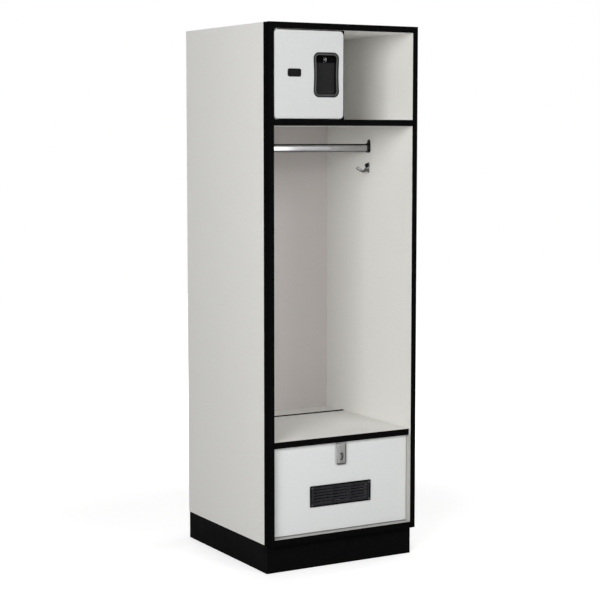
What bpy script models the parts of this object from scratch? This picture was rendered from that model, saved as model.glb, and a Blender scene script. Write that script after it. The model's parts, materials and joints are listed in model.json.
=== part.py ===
"""Doorless locker: a laminate case with a locked compartment, a cubby, a hanging bay and a seat chest.

The front faces -Y, X runs to the right, and the origin is on the floor under the middle of the carcass.
All lengths are in metres.
"""

import math

import bmesh
import bpy
from mathutils import Matrix, Vector

# Carcass
WIDTH = 0.610
DEPTH = 0.645
HEIGHT = 1.930
BOARD = 0.019
SHELF_BOARD = 0.022
COMPARTMENT_HEIGHT = 0.310
RAIL_INSET = 0.0027
HANG_RAIL_HEIGHT = 0.100
PLINTH_HEIGHT = 0.102
PLINTH_RECESS = 0.0275
PLINTH_INSET = 0.003

# Black edging
EDGE_THICK = 0.003
ANGLE_LEG = 0.041
ANGLE_THICK = 0.0015

# Compartment door
DOOR_RECESS = 0.004
DOOR_THICK = 0.019
DOOR_SIDE_GAP = 0.0025
DOOR_TOP_GAP = 0.0035
DOOR_BOTTOM_GAP = 0.0025
DOOR_LAP = 0.005
DOOR_STOP_GAP = 0.0015
DOOR_CORNER = 0.015
DOOR_ROUNDING = 0.003
PIVOT_INSET = 0.014
PIVOT_RADIUS = 0.003
PIVOT_REACH = 0.010
PIVOT_FLANGE_RADIUS = 0.008
PIVOT_FLANGE_THICK = 0.0015
BUSH_WALL = 0.002
BUSH_LENGTH = 0.013
NUMBER_PLATE_WIDTH = 0.053
NUMBER_PLATE_HEIGHT = 0.028
NUMBER_PLATE_THICK = 0.0015
NUMBER_PLATE_CORNER = 0.007
NUMBER_PLATE_FROM_EDGE = 0.053
NUMBER_PLATE_RISE = 0.006

# Handle cup and what stands in it
CUP_WIDTH = 0.106
CUP_HEIGHT = 0.156
CUP_CORNER = 0.022
CUP_WAIST = 0.0022
CUP_MARGIN = 0.018
CUP_PROUD = 0.002
CUP_LIP = 0.007
CUP_WALL = 0.002
CUP_SHORT = 0.0015
CUP_DRAFT = 0.0015
EYE_DROP = 0.012
EYE_HEIGHT = 0.026
EYE_THICK = 0.003
EYE_SETBACK = 0.0015
EYE_HOLE_RADIUS = 0.00375
EYE_SLOT_GAP = 0.002
BRACKET_GAP = 0.002
BRACKET_FLANGE = 0.024
MAGNET_HEIGHT = 0.040
MAGNET_WIDTH = 0.013
MAGNET_LENGTH = 0.022
MAGNET_GAP = 0.0005
MAGNET_DROP = 0.070
STRIKER_THICK = 0.0015

# Hanging rod and coat hook
ROD_WIDTH = 0.015
ROD_HEIGHT = 0.030
ROD_WALL = 0.0012
ROD_DROP = 0.080
ROD_FROM_FRONT = 0.295
SOCKET_WALL = 0.002
SOCKET_DEPTH = 0.012
SOCKET_FLOOR = 0.0025
SOCKET_RIM = 0.0008
SOCKET_TAB_WIDTH = 0.011
SOCKET_TAB_RISE = 0.013
HOOK_BELOW_ROD = 0.0740
HOOK_BASE_WIDTH = 0.014
HOOK_BASE_HEIGHT = 0.040
HOOK_BASE_THICK = 0.0025
HOOK_WIRE_RADIUS = 0.004
HOOK_REACH = 0.0508
HOOK_DROP = 0.0153
HOOK_BALL_RADIUS = 0.0078
HOOK_BALL_REACH = 0.0104
HOOK_BALL_RISE = 0.0068

# Seat chest
SEAT_TOP = 0.4695
SEAT_RECESS = 0.013
SEAT_STRIP = 0.1275
SEAT_SIDE_GAP = 0.0015
CLEAT_HEIGHT = 0.038
CHEST_SETBACK = 0.015
CHEST_SIDE_GAP = 0.0008
CHEST_FOOT_GAP = 0.003
CHEST_HEAD_GAP = 0.0018
CHEST_ROUNDING = 0.0025
HINGE_RADIUS = 0.003
HINGE_THICK = 0.0012
HINGE_PIN_RADIUS = 0.0012
HINGE_BORE_RADIUS = 0.0015
HINGE_RISE = 0.0015
HINGE_REACH = 0.0165
HINGE_KNUCKLES = 15

# Vent grille
GRILLE_WIDTH = 0.254
GRILLE_HEIGHT = 0.076
GRILLE_THICK = 0.004
GRILLE_CORNER = 0.003
GRILLE_RISE = 0.1335
GRILLE_COLUMNS = 3
GRILLE_ROWS = 6
GRILLE_SIDE_RIM = 0.016
GRILLE_TOP_RIM = 0.010
GRILLE_BAR = 0.010
GRILLE_BLADE = 0.0045
GRILLE_SLOPE = math.radians(35)
GRILLE_SCREW_INSET = 0.007
VENT_LEDGE = 0.012

# Hasp under the lid's front edge
HASP_WIDTH = 0.040
HASP_THICK = 0.0012
HASP_REACH = 0.034
HASP_FROM_LID_FRONT = 0.0065
HASP_KNUCKLES = 3
STRAP_THICK = 0.0016
STRAP_FOOT = 0.008
STRAP_CORNER = 0.005
WINDOW_WIDTH = 0.016
WINDOW_HEIGHT = 0.036
WINDOW_DROP = 0.036
STAPLE_WIDTH = 0.034
STAPLE_HEIGHT = 0.056
STAPLE_THICK = 0.0015
STAPLE_CORNER = 0.004
RING_DROP = 0.041
RING_STANDOFF = 0.0030
RING_WIRE_RADIUS = 0.0013
RING_WIDTH = 0.0096
RING_HEIGHT = 0.022
RING_CORNER = 0.0016
LUG_WIDTH = 0.005
LUG_WALL = 0.0012

# Screws
SCREW_HEAD_RADIUS = 0.0030
SCREW_HEAD_HEIGHT = 0.0016
SCREW_SHANK_RADIUS = 0.0014
SCREW_LENGTH = 0.013

# Fits, and how finely round shapes are cut
SEAM = 0.0003
AXIAL_GAP = 0.0005
OVERRUN = 0.004
WELD = 0.00001
ROUND_STEPS = 16
CORNER_STEPS = 5

# Places worked out from the sizes
FRONT = -DEPTH / 2
BACK = DEPTH / 2
HALF_WIDTH = WIDTH / 2
INNER = HALF_WIDTH - BOARD
BOARD_FRONT = FRONT + EDGE_THICK + SEAM
RAIL_FRONT = BACK - RAIL_INSET - BOARD
BACK_FACE = RAIL_FRONT - SEAM - BOARD
CEILING = HEIGHT - SHELF_BOARD
FLOOR = PLINTH_HEIGHT + SHELF_BOARD
HAT_SHELF_TOP = CEILING - COMPARTMENT_HEIGHT

DOOR_LEFT = -INNER + DOOR_SIDE_GAP
DOOR_RIGHT = -BOARD / 2 + DOOR_LAP
DOOR_BOTTOM = HAT_SHELF_TOP + DOOR_BOTTOM_GAP
DOOR_TOP = CEILING - DOOR_TOP_GAP
DOOR_FACE = FRONT + DOOR_RECESS
DOOR_REAR = DOOR_FACE + DOOR_THICK
DOOR_MIDDLE = Vector((DOOR_LEFT + DOOR_RIGHT, DOOR_FACE + DOOR_REAR, DOOR_BOTTOM + DOOR_TOP)) / 2
PIVOT_X = DOOR_LEFT + PIVOT_INSET
DIVIDER_FRONT = DOOR_REAR + DOOR_STOP_GAP
CUP_DEPTH = DOOR_THICK - CUP_SHORT
CUP_X = DOOR_RIGHT - CUP_MARGIN - CUP_WIDTH / 2
CUP_Z = DOOR_MIDDLE.z
EYE_Z = CUP_Z + CUP_HEIGHT / 2 - EYE_DROP - EYE_HEIGHT / 2
EYE_TIP = DOOR_FACE + EYE_SETBACK
BRACKET_FRONT = DOOR_REAR + BRACKET_GAP
MAGNET_Z = CUP_Z - MAGNET_DROP

ROD_Y = FRONT + ROD_FROM_FRONT
ROD_Z = HAT_SHELF_TOP - SHELF_BOARD - ROD_DROP
HOOK_Z = ROD_Z - HOOK_BELOW_ROD

SEAT_UNDER = SEAT_TOP - SHELF_BOARD
HINGE_Y = BACK_FACE - SEAT_STRIP
HINGE_Z = SEAT_TOP + HINGE_RISE
CHEST_FACE = FRONT + SEAT_RECESS + CHEST_SETBACK
CHEST_REAR = CHEST_FACE + BOARD
GRILLE_Z = FLOOR + GRILLE_RISE
HASP_RADIUS = HINGE_RADIUS
STRAP_DROP = WINDOW_DROP + WINDOW_HEIGHT + STRAP_FOOT
HASP_Y = FRONT + SEAT_RECESS + HASP_FROM_LID_FRONT
HASP_Z = SEAT_UNDER - SEAM - HASP_RADIUS
STAPLE_FACE = CHEST_FACE - SEAM - STAPLE_THICK
RING_Y = STAPLE_FACE - RING_STANDOFF
RING_Z = HASP_Z - RING_DROP

# How an outline's own two directions lie in the room: across, up
PLANES = {
    "XY": Matrix.Identity(3),
    "XZ": Matrix(((1, 0, 0), (0, 0, -1), (0, 1, 0))),
    "YZ": Matrix(((0, 0, 1), (1, 0, 0), (0, 1, 0))),
}


def new_collection(name):
    collection = bpy.data.collections.new(name)
    bpy.context.scene.collection.children.link(collection)
    return collection


def finish(name, colour, roughness, metallic=0.0):
    """A plain material with the colour and shine of one of the locker's surfaces."""
    material = bpy.data.materials.new(name)
    material.use_nodes = True
    shader = material.node_tree.nodes["Principled BSDF"]
    shader.inputs["Base Color"].default_value = (*colour, 1)
    shader.inputs["Roughness"].default_value = roughness
    shader.inputs["Metallic"].default_value = metallic
    material.diffuse_color = (*colour, 1)
    return material


for leftover in list(bpy.data.objects):
    bpy.data.objects.remove(leftover, do_unlink=True)
PARTS = new_collection("doorless_locker")
CUTTERS = new_collection("cutters")

GREY_LAMINATE = finish("grey_laminate", (0.62, 0.62, 0.60), 0.45)
DOOR_FOIL = finish("door_foil", (0.67, 0.68, 0.67), 0.40)
BLACK_EDGE = finish("black_edge", (0.006, 0.006, 0.006), 0.45)
BLACK_LAMINATE = finish("black_laminate", (0.006, 0.006, 0.006), 0.50)
BLACK_PLASTIC = finish("black_plastic", (0.012, 0.012, 0.013), 0.35)
STEEL = finish("bright_steel", (0.60, 0.60, 0.60), 0.28, 1.0)
CHROME = finish("chrome", (0.75, 0.75, 0.75), 0.10, 1.0)
DARK_STEEL = finish("dark_steel", (0.10, 0.10, 0.10), 0.40, 1.0)
NYLON = finish("nylon", (0.75, 0.74, 0.70), 0.50)


def add_part(name, mesh, place, material):
    """Puts a mesh in the locker's collection as one named piece."""
    piece = bpy.data.objects.new(name, mesh)
    piece.location = place
    piece.data.materials.append(material)
    PARTS.objects.link(piece)
    return piece


def as_cutter(piece):
    """Moves a piece to the cutters, which only shape other pieces."""
    PARTS.objects.unlink(piece)
    CUTTERS.objects.link(piece)
    piece.display_type = "WIRE"
    piece.hide_render = True
    return piece


def mesh_from(form, name):
    mesh = bpy.data.meshes.new(name)
    form.to_mesh(mesh)
    form.free()
    return mesh


def round_off_shading(piece):
    """Smooth shading on round sides, with the real edges kept sharp."""
    piece.data.shade_smooth()
    piece.data.set_sharp_from_angle(angle=math.radians(35))


def block(name, low, high, material):
    """A box from its lowest to its highest corner."""
    low = Vector(low)
    high = Vector(high)
    form = bmesh.new()
    bmesh.ops.create_cube(form, size=1)
    bmesh.ops.scale(form, vec=high - low, verts=form.verts)
    return add_part(name, mesh_from(form, name), (low + high) / 2, material)


def round_bar(name, radius, length, place, axis, material):
    """A cylinder centred on a place, along an axis."""
    form = bmesh.new()
    bmesh.ops.create_cone(
        form, cap_ends=True, segments=ROUND_STEPS, radius1=radius, radius2=radius, depth=length
    )
    turn = Vector((0, 0, 1)).rotation_difference(Vector(axis)).to_matrix()
    bmesh.ops.rotate(form, matrix=turn, verts=form.verts)
    piece = add_part(name, mesh_from(form, name), place, material)
    round_off_shading(piece)
    return piece


def turned(name, profile, place, axis, material):
    """A solid of revolution from (radius, height) points that run down its outer side."""
    form = bmesh.new()
    verts = [form.verts.new((radius, 0, height)) for radius, height in profile]
    for upper, lower in zip(verts, verts[1:]):
        form.edges.new((upper, lower))
    piece = add_part(name, mesh_from(form, name), place, material)
    piece.rotation_mode = "QUATERNION"
    piece.rotation_quaternion = Vector((0, 0, 1)).rotation_difference(Vector(axis))
    screw = piece.modifiers.new("Screw", "SCREW")
    screw.steps = ROUND_STEPS
    screw.render_steps = ROUND_STEPS
    screw.use_merge_vertices = True
    screw.merge_threshold = WELD
    screw.use_smooth_shade = False
    return piece


def curve_mesh(curve, name):
    """The mesh of a curve, with its loose caps welded on."""
    sketch = bpy.data.objects.new(name, curve)
    bpy.context.scene.collection.objects.link(sketch)
    graph = bpy.context.evaluated_depsgraph_get()
    mesh = bpy.data.meshes.new_from_object(sketch.evaluated_get(graph))
    form = bmesh.new()
    form.from_mesh(mesh)
    bmesh.ops.remove_doubles(form, verts=form.verts, dist=WELD)
    bmesh.ops.recalc_face_normals(form, faces=form.faces)
    form.to_mesh(mesh)
    form.free()
    bpy.data.objects.remove(sketch, do_unlink=True)
    bpy.data.curves.remove(curve)
    return mesh


def plate(name, outline, thickness, place, plane, material, holes=()):
    """A flat outline, with holes if any, given a thickness evenly to both sides of its plane."""
    curve = bpy.data.curves.new(name, "CURVE")
    curve.dimensions = "2D"
    curve.fill_mode = "BOTH"
    curve.extrude = thickness / 2
    for points in (outline, *holes):
        spline = curve.splines.new("POLY")
        spline.points.add(len(points) - 1)
        for point, (across, up) in zip(spline.points, points):
            point.co.xy = across, up
        spline.use_cyclic_u = True
    mesh = curve_mesh(curve, name)
    mesh.transform(PLANES[plane].to_4x4())
    mesh.materials.clear()
    piece = add_part(name, mesh, place, material)
    round_off_shading(piece)
    return piece


def arc(radius, start, end, steps, centre=(0, 0)):
    """Points along an arc, both ends included. Angles are in degrees."""
    points = []
    for step in range(steps + 1):
        angle = math.radians(start + (end - start) * step / steps)
        points.append((centre[0] + radius * math.cos(angle), centre[1] + radius * math.sin(angle)))
    return points


def circle(radius, centre=(0, 0)):
    return arc(radius, 0, 360, ROUND_STEPS, centre)[:-1]


def rounded_rectangle(width, height, radius):
    across = width / 2 - radius
    up = height / 2 - radius
    return (
        arc(radius, 0, 90, CORNER_STEPS, (across, up))
        + arc(radius, 90, 180, CORNER_STEPS, (-across, up))
        + arc(radius, 180, 270, CORNER_STEPS, (-across, -up))
        + arc(radius, 270, 360, CORNER_STEPS, (across, -up))
    )


def stadium(width, height):
    """An upright oval with straight sides and half-round ends."""
    radius = width / 2
    up = height / 2 - radius
    half = ROUND_STEPS // 2
    return arc(radius, 0, 180, half, (0, up)) + arc(radius, 180, 360, half, (0, -up))


def cup_outline(inset):
    """The handle cup's outline: large round corners, and sides drawn in at the middle."""
    width = CUP_WIDTH - 2 * inset
    height = CUP_HEIGHT - 2 * inset
    half = height / 2
    points = rounded_rectangle(width, height, CUP_CORNER - inset)
    straight = half - (CUP_CORNER - inset)
    side = []
    for step in range(1, 2 * CORNER_STEPS):
        side.append((width / 2, -straight + straight * step / CORNER_STEPS))
    points = points + side
    points += [(-across, -up) for across, up in side]

    def draw_in(across, up):
        share = max(0, math.cos(math.pi / 2 * min(1, abs(up) / half)))
        return across - math.copysign(CUP_WAIST * share, across), up

    points.sort(key=lambda point: math.atan2(point[1], point[0]))
    return [draw_in(across, up) for across, up in points]


def knuckle_outline(radius, thick, reach):
    """A hinge leaf's section: a barrel round the pin, and its plate hanging from the left of the barrel."""
    inner = radius - thick
    meet = math.degrees(math.acos(inner / radius))
    barrel = arc(radius, 180, meet - 180, ROUND_STEPS)
    return [(-radius, -reach)] + barrel + [(-inner, -reach)]


def boolean(piece, other, operation):
    """Cuts, joins or trims a piece with another one, which stays behind as its cutter."""
    modifier = piece.modifiers.new(operation.title(), "BOOLEAN")
    modifier.operation = operation
    modifier.solver = "EXACT"
    modifier.object = other


def cut(piece, cutter):
    boolean(piece, cutter, "DIFFERENCE")


def join(piece, other):
    boolean(piece, as_cutter(other), "UNION")


def cut_block(piece, low, high):
    """Cuts a box-shaped space out of a piece."""
    cut(piece, as_cutter(block(piece.name + "_cutter", low, high, BLACK_PLASTIC)))


def drill(pieces, radius, start, end):
    """Drills one round hole through the given pieces, from one point to another."""
    start = Vector(start)
    end = Vector(end)
    hole = round_bar(
        pieces[0].name + "_bore", radius, (end - start).length, (start + end) / 2, end - start, BLACK_PLASTIC
    )
    as_cutter(hole)
    for piece in pieces:
        cut(piece, hole)


def soften(piece, width, segments):
    """Rounds a piece's real edges and leaves the shallow steps of its curves alone."""
    bevel = piece.modifiers.new("Bevel", "BEVEL")
    bevel.width = width
    bevel.segments = segments
    bevel.limit_method = "ANGLE"
    bevel.angle_limit = math.radians(40)


def sided(side, near, far):
    """The low and high X of something between two distances from the middle, left (-1) or right (1)."""
    return min(side * near, side * far), max(side * near, side * far)


def swing(name, place, pieces):
    """An empty on a joint's axis that carries the pieces which turn about it."""
    pivot = bpy.data.objects.new(name, None)
    pivot.location = place
    PARTS.objects.link(pivot)
    for piece in pieces:
        piece.parent = pivot
        piece.matrix_parent_inverse = Matrix.Translation(place).inverted()
    return pivot


def screw(name, place, axis, carriers):
    """A pan-head screw whose head sits on a face, with its hole drilled in the pieces that it holds."""
    axis = Vector(axis)
    place = Vector(place) + axis * SEAM
    head = SCREW_HEAD_RADIUS
    profile = [
        (0, SCREW_HEAD_HEIGHT),
        (head / 2, SCREW_HEAD_HEIGHT),
        (head, SCREW_HEAD_HEIGHT / 3),
        (head, 0),
        (SCREW_SHANK_RADIUS, 0),
        (SCREW_SHANK_RADIUS, -SCREW_LENGTH),
        (0, -SCREW_LENGTH),
    ]
    turned(name, profile, place, axis, STEEL)
    start = place + axis * OVERRUN
    end = place - axis * (SCREW_LENGTH + SEAM)
    drill(carriers, SCREW_SHANK_RADIUS + SEAM, start, end)


def hinge_leaf(name, radius, thick, reach, length, count, kept, place, turn, material):
    """One leaf of a knuckle hinge along X: its barrel is cut away where the other leaf's knuckles go."""
    outline = [
        (turn[0] * across + turn[1] * up, turn[2] * across + turn[3] * up)
        for across, up in knuckle_outline(radius, thick, reach)
    ]
    leaf = plate(name, outline, length, place, "YZ", material, [circle(HINGE_BORE_RADIUS)])
    pitch = length / count
    clear = radius + SEAM
    form = bmesh.new()
    for index in range(count):
        if index % 2 == kept:
            continue
        start = -length / 2 + index * pitch - AXIAL_GAP / 2
        end = start + pitch + AXIAL_GAP
        if index == 0:
            start -= OVERRUN
        if index == count - 1:
            end += OVERRUN
        made = bmesh.ops.create_cube(form, size=1)["verts"]
        bmesh.ops.scale(form, vec=(end - start, 2 * clear, 2 * clear), verts=made)
        bmesh.ops.translate(form, vec=((start + end) / 2, 0, 0), verts=made)
    cut(leaf, as_cutter(add_part(name + "_gaps", mesh_from(form, name), place, material)))
    return leaf


def build_carcass():
    """The boards of the case, the rails behind it and the plinth under it."""
    panels = {}
    for name, side in (("left", -1), ("right", 1)):
        low, high = sided(side, INNER, HALF_WIDTH)
        panel = block(
            name + "_side_panel", (low, BOARD_FRONT, PLINTH_HEIGHT), (high, BACK, HEIGHT), GREY_LAMINATE
        )
        low, high = sided(side, HALF_WIDTH - ANGLE_THICK - SEAM, HALF_WIDTH + OVERRUN)
        cut_block(
            panel,
            (low, FRONT - OVERRUN, PLINTH_HEIGHT - OVERRUN),
            (high, FRONT + ANGLE_LEG + SEAM, HEIGHT + OVERRUN),
        )
        panels[name] = panel
    reach = INNER - SEAM
    shelves = (
        ("top_panel", HEIGHT, BACK),
        ("bottom_panel", FLOOR, BACK),
        ("hat_shelf", HAT_SHELF_TOP, BACK_FACE - SEAM),
    )
    for name, top, rear in shelves:
        foot = top - SHELF_BOARD
        panels[name] = block(name, (-reach, BOARD_FRONT, foot), (reach, rear, top), GREY_LAMINATE)
    back_rear = BACK_FACE + BOARD
    block("back_panel", (-reach, BACK_FACE, FLOOR + SEAM), (reach, back_rear, CEILING - SEAM), GREY_LAMINATE)
    rails = (("upper", CEILING - SEAM - HANG_RAIL_HEIGHT), ("lower", FLOOR + SEAM))
    for name, foot in rails:
        block(
            name + "_hanging_rail",
            (-reach, RAIL_FRONT, foot),
            (reach, RAIL_FRONT + BOARD, foot + HANG_RAIL_HEIGHT),
            GREY_LAMINATE,
        )
    block(
        "compartment_divider",
        (-BOARD / 2, DIVIDER_FRONT + EDGE_THICK + SEAM, HAT_SHELF_TOP + SEAM),
        (BOARD / 2, BACK_FACE - SEAM, CEILING - SEAM),
        GREY_LAMINATE,
    )
    return panels


def build_plinth():
    top = PLINTH_HEIGHT - SEAM
    side = HALF_WIDTH - PLINTH_INSET
    front = FRONT + PLINTH_RECESS
    block("plinth_front", (-side, front, 0), (side, front + BOARD, top), BLACK_LAMINATE)
    block("plinth_back", (-side, BACK - BOARD, 0), (side, BACK, top), BLACK_LAMINATE)
    for name, hand in (("left", -1), ("right", 1)):
        low, high = sided(hand, side - BOARD, side)
        between = (front + BOARD + SEAM, BACK - BOARD - SEAM)
        block("plinth_" + name, (low, between[0], 0), (high, between[1], top), BLACK_LAMINATE)


def build_edging():
    """Black corner angles round both side panels, and black strips on the boards between them."""
    for name, side in (("left", -1), ("right", 1)):
        low, high = sided(side, INNER, HALF_WIDTH)
        angle = block(
            name + "_corner_angle", (low, FRONT, PLINTH_HEIGHT), (high, FRONT + ANGLE_LEG, HEIGHT), BLACK_EDGE
        )
        low, high = sided(side, INNER - OVERRUN, HALF_WIDTH - ANGLE_THICK)
        cut_block(
            angle,
            (low, FRONT + EDGE_THICK, PLINTH_HEIGHT - OVERRUN),
            (high, FRONT + ANGLE_LEG + OVERRUN, HEIGHT + OVERRUN),
        )
    reach = INNER - SEAM
    lid_reach = INNER - SEAT_SIDE_GAP
    strips = (
        ("top_edge_strip", FRONT, reach, HEIGHT),
        ("bottom_edge_strip", FRONT, reach, FLOOR),
        ("hat_shelf_edge_strip", FRONT, reach, HAT_SHELF_TOP),
        ("lid_edge_strip", FRONT + SEAT_RECESS, lid_reach, SEAT_TOP),
    )
    for name, front, half, top in strips:
        foot = top - SHELF_BOARD
        block(name, (-half, front, foot), (half, front + EDGE_THICK, top), BLACK_EDGE)
    block(
        "divider_edge_strip",
        (-BOARD / 2, DIVIDER_FRONT, HAT_SHELF_TOP + SEAM),
        (BOARD / 2, DIVIDER_FRONT + EDGE_THICK, CEILING - SEAM),
        BLACK_EDGE,
    )


def build_pivots(door):
    """The pins above and below the door's hinge side, and the bushes in the door that turn on them."""
    bushes = []
    bore = PIVOT_RADIUS + SEAM
    for name, seat, edge, up in (("upper", CEILING, DOOR_TOP, -1), ("lower", HAT_SHELF_TOP, DOOR_BOTTOM, 1)):
        gap = abs(edge - seat)
        profile = [
            (0, gap + PIVOT_REACH),
            (PIVOT_RADIUS, gap + PIVOT_REACH),
            (PIVOT_RADIUS, SEAM + PIVOT_FLANGE_THICK),
            (PIVOT_FLANGE_RADIUS, SEAM + PIVOT_FLANGE_THICK),
            (PIVOT_FLANGE_RADIUS, SEAM),
            (0, SEAM),
        ]
        turned(name + "_door_pivot", profile, (PIVOT_X, DOOR_MIDDLE.y, seat), (0, 0, up), STEEL)
        bush = plate(
            name + "_pivot_bush",
            circle(bore + BUSH_WALL),
            BUSH_LENGTH,
            (PIVOT_X, DOOR_MIDDLE.y, edge + up * BUSH_LENGTH / 2),
            "XY",
            NYLON,
            [circle(bore)],
        )
        bushes.append(bush)
        start = (PIVOT_X, DOOR_MIDDLE.y, edge - up * OVERRUN)
        end = (PIVOT_X, DOOR_MIDDLE.y, edge + up * (BUSH_LENGTH + SEAM))
        drill([door], bore + BUSH_WALL + SEAM, start, end)
    return bushes


def lofted(name, rings, place, material):
    """A closed solid through rings of points that all have the same count, capped at both ends."""
    form = bmesh.new()
    loops = []
    for points, depth in rings:
        loops.append([form.verts.new((across, depth, up)) for across, up in points])
    count = len(loops[0])
    for near, far in zip(loops, loops[1:]):
        for index in range(count):
            after = (index + 1) % count
            form.faces.new((near[index], near[after], far[after], far[index]))
    for end in (loops[0], loops[-1]):
        form.faces.new(end)
    bmesh.ops.recalc_face_normals(form, faces=form.faces)
    piece = add_part(name, mesh_from(form, name), place, material)
    round_off_shading(piece)
    return piece


def build_cup():
    """A moulded cup with a rim that lies on the door and a slot in its floor for the padlock eye."""
    pocket = CUP_LIP + CUP_WALL
    floor_depth = CUP_DEPTH - CUP_WALL
    profile = (
        (CUP_LIP, CUP_DEPTH),
        (CUP_LIP, -SEAM),
        (0, -SEAM),
        (CUP_PROUD / 2, -CUP_PROUD),
        (CUP_LIP, -CUP_PROUD),
        (pocket, 0),
        (pocket + CUP_DRAFT, floor_depth),
    )
    rings = [(cup_outline(inset), depth) for inset, depth in profile]
    cup = lofted("handle_cup", rings, (CUP_X, DOOR_FACE, CUP_Z), BLACK_PLASTIC)
    slot_half = EYE_THICK / 2 + EYE_SLOT_GAP
    slot_rise = EYE_HEIGHT / 2 + EYE_SLOT_GAP
    cut_block(
        cup,
        (CUP_X - slot_half, DOOR_FACE + floor_depth - OVERRUN, EYE_Z - slot_rise),
        (CUP_X + slot_half, DOOR_FACE + CUP_DEPTH + OVERRUN, EYE_Z + slot_rise),
    )
    return cup


def build_door():
    """The compartment door with its cup, number plate, bushes and striker, and the catch beside it."""
    width = DOOR_RIGHT - DOOR_LEFT
    height = DOOR_TOP - DOOR_BOTTOM
    outline = rounded_rectangle(width, height, DOOR_CORNER)
    faces = ((outline, -DOOR_THICK / 2), (outline, DOOR_THICK / 2))
    door = lofted("compartment_door", faces, DOOR_MIDDLE, DOOR_FOIL)
    soften(door, DOOR_ROUNDING, 3)
    opening = plate(
        "cup_opening",
        cup_outline(CUP_LIP - SEAM),
        DOOR_THICK + 2 * OVERRUN,
        (CUP_X, DOOR_MIDDLE.y, CUP_Z),
        "XZ",
        DOOR_FOIL,
    )
    cut(door, as_cutter(opening))
    bushes = build_pivots(door)
    cup = build_cup()
    label = plate(
        "number_plate",
        rounded_rectangle(NUMBER_PLATE_WIDTH, NUMBER_PLATE_HEIGHT, NUMBER_PLATE_CORNER),
        NUMBER_PLATE_THICK,
        (
            DOOR_LEFT + NUMBER_PLATE_FROM_EDGE + NUMBER_PLATE_WIDTH / 2,
            DOOR_FACE - SEAM - NUMBER_PLATE_THICK / 2,
            CUP_Z + NUMBER_PLATE_RISE,
        ),
        "XZ",
        BLACK_PLASTIC,
    )
    magnet_right = -BOARD / 2 - SEAM
    striker_rear = DOOR_REAR + SEAM + STRIKER_THICK
    striker = block(
        "magnet_striker",
        (magnet_right - MAGNET_WIDTH, DOOR_REAR + SEAM, MAGNET_Z - MAGNET_HEIGHT / 2),
        (magnet_right - SEAM, striker_rear, MAGNET_Z + MAGNET_HEIGHT / 2),
        STEEL,
    )
    magnet_front = striker_rear + MAGNET_GAP
    block(
        "magnet_catch",
        (magnet_right - MAGNET_WIDTH, magnet_front, MAGNET_Z - MAGNET_HEIGHT / 2),
        (magnet_right, magnet_front + MAGNET_LENGTH, MAGNET_Z + MAGNET_HEIGHT / 2),
        NYLON,
    )
    swing("door_axis", (PIVOT_X, DOOR_MIDDLE.y, DOOR_BOTTOM), [door, cup, label, striker, *bushes])


def build_padlock_eye():
    """A bent bracket: a flange on the divider, a web behind the door, and the eye through the cup's floor."""
    low = EYE_Z - EYE_HEIGHT / 2
    high = EYE_Z + EYE_HEIGHT / 2
    right = -BOARD / 2 - SEAM
    left = CUP_X - EYE_THICK / 2
    rear = BRACKET_FRONT + BRACKET_FLANGE
    bracket = block("padlock_eye", (left, EYE_TIP, low), (right, rear, high), STEEL)
    web_rear = BRACKET_FRONT + EYE_THICK
    cut_block(
        bracket,
        (left + EYE_THICK, EYE_TIP - OVERRUN, low - OVERRUN),
        (right + OVERRUN, BRACKET_FRONT, high + OVERRUN),
    )
    cut_block(
        bracket,
        (left - OVERRUN, web_rear, low - OVERRUN),
        (right - EYE_THICK, rear + OVERRUN, high + OVERRUN),
    )
    hole_y = EYE_TIP + 2 * EYE_HOLE_RADIUS
    drill(
        [bracket],
        EYE_HOLE_RADIUS,
        (left - OVERRUN, hole_y, EYE_Z),
        (left + EYE_THICK + OVERRUN, hole_y, EYE_Z),
    )


def socket_outline():
    """The rod socket's back plate: an oval with a screw tab on top."""
    width = ROD_WIDTH + 2 * (SEAM + SOCKET_WALL + SOCKET_RIM)
    height = ROD_HEIGHT + 2 * (SEAM + SOCKET_WALL + SOCKET_RIM)
    radius = width / 2
    up = height / 2 - radius
    half_tab = SOCKET_TAB_WIDTH / 2
    meet = math.degrees(math.acos(half_tab / radius))
    top = height / 2 + SOCKET_TAB_RISE - half_tab
    half = ROUND_STEPS // 2
    return (
        arc(radius, 180, 360, half, (0, -up))
        + arc(radius, 0, meet, CORNER_STEPS, (0, up))
        + arc(half_tab, 0, 180, half, (0, top))
        + arc(radius, 180 - meet, 180, CORNER_STEPS, (0, up))
    )


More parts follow.
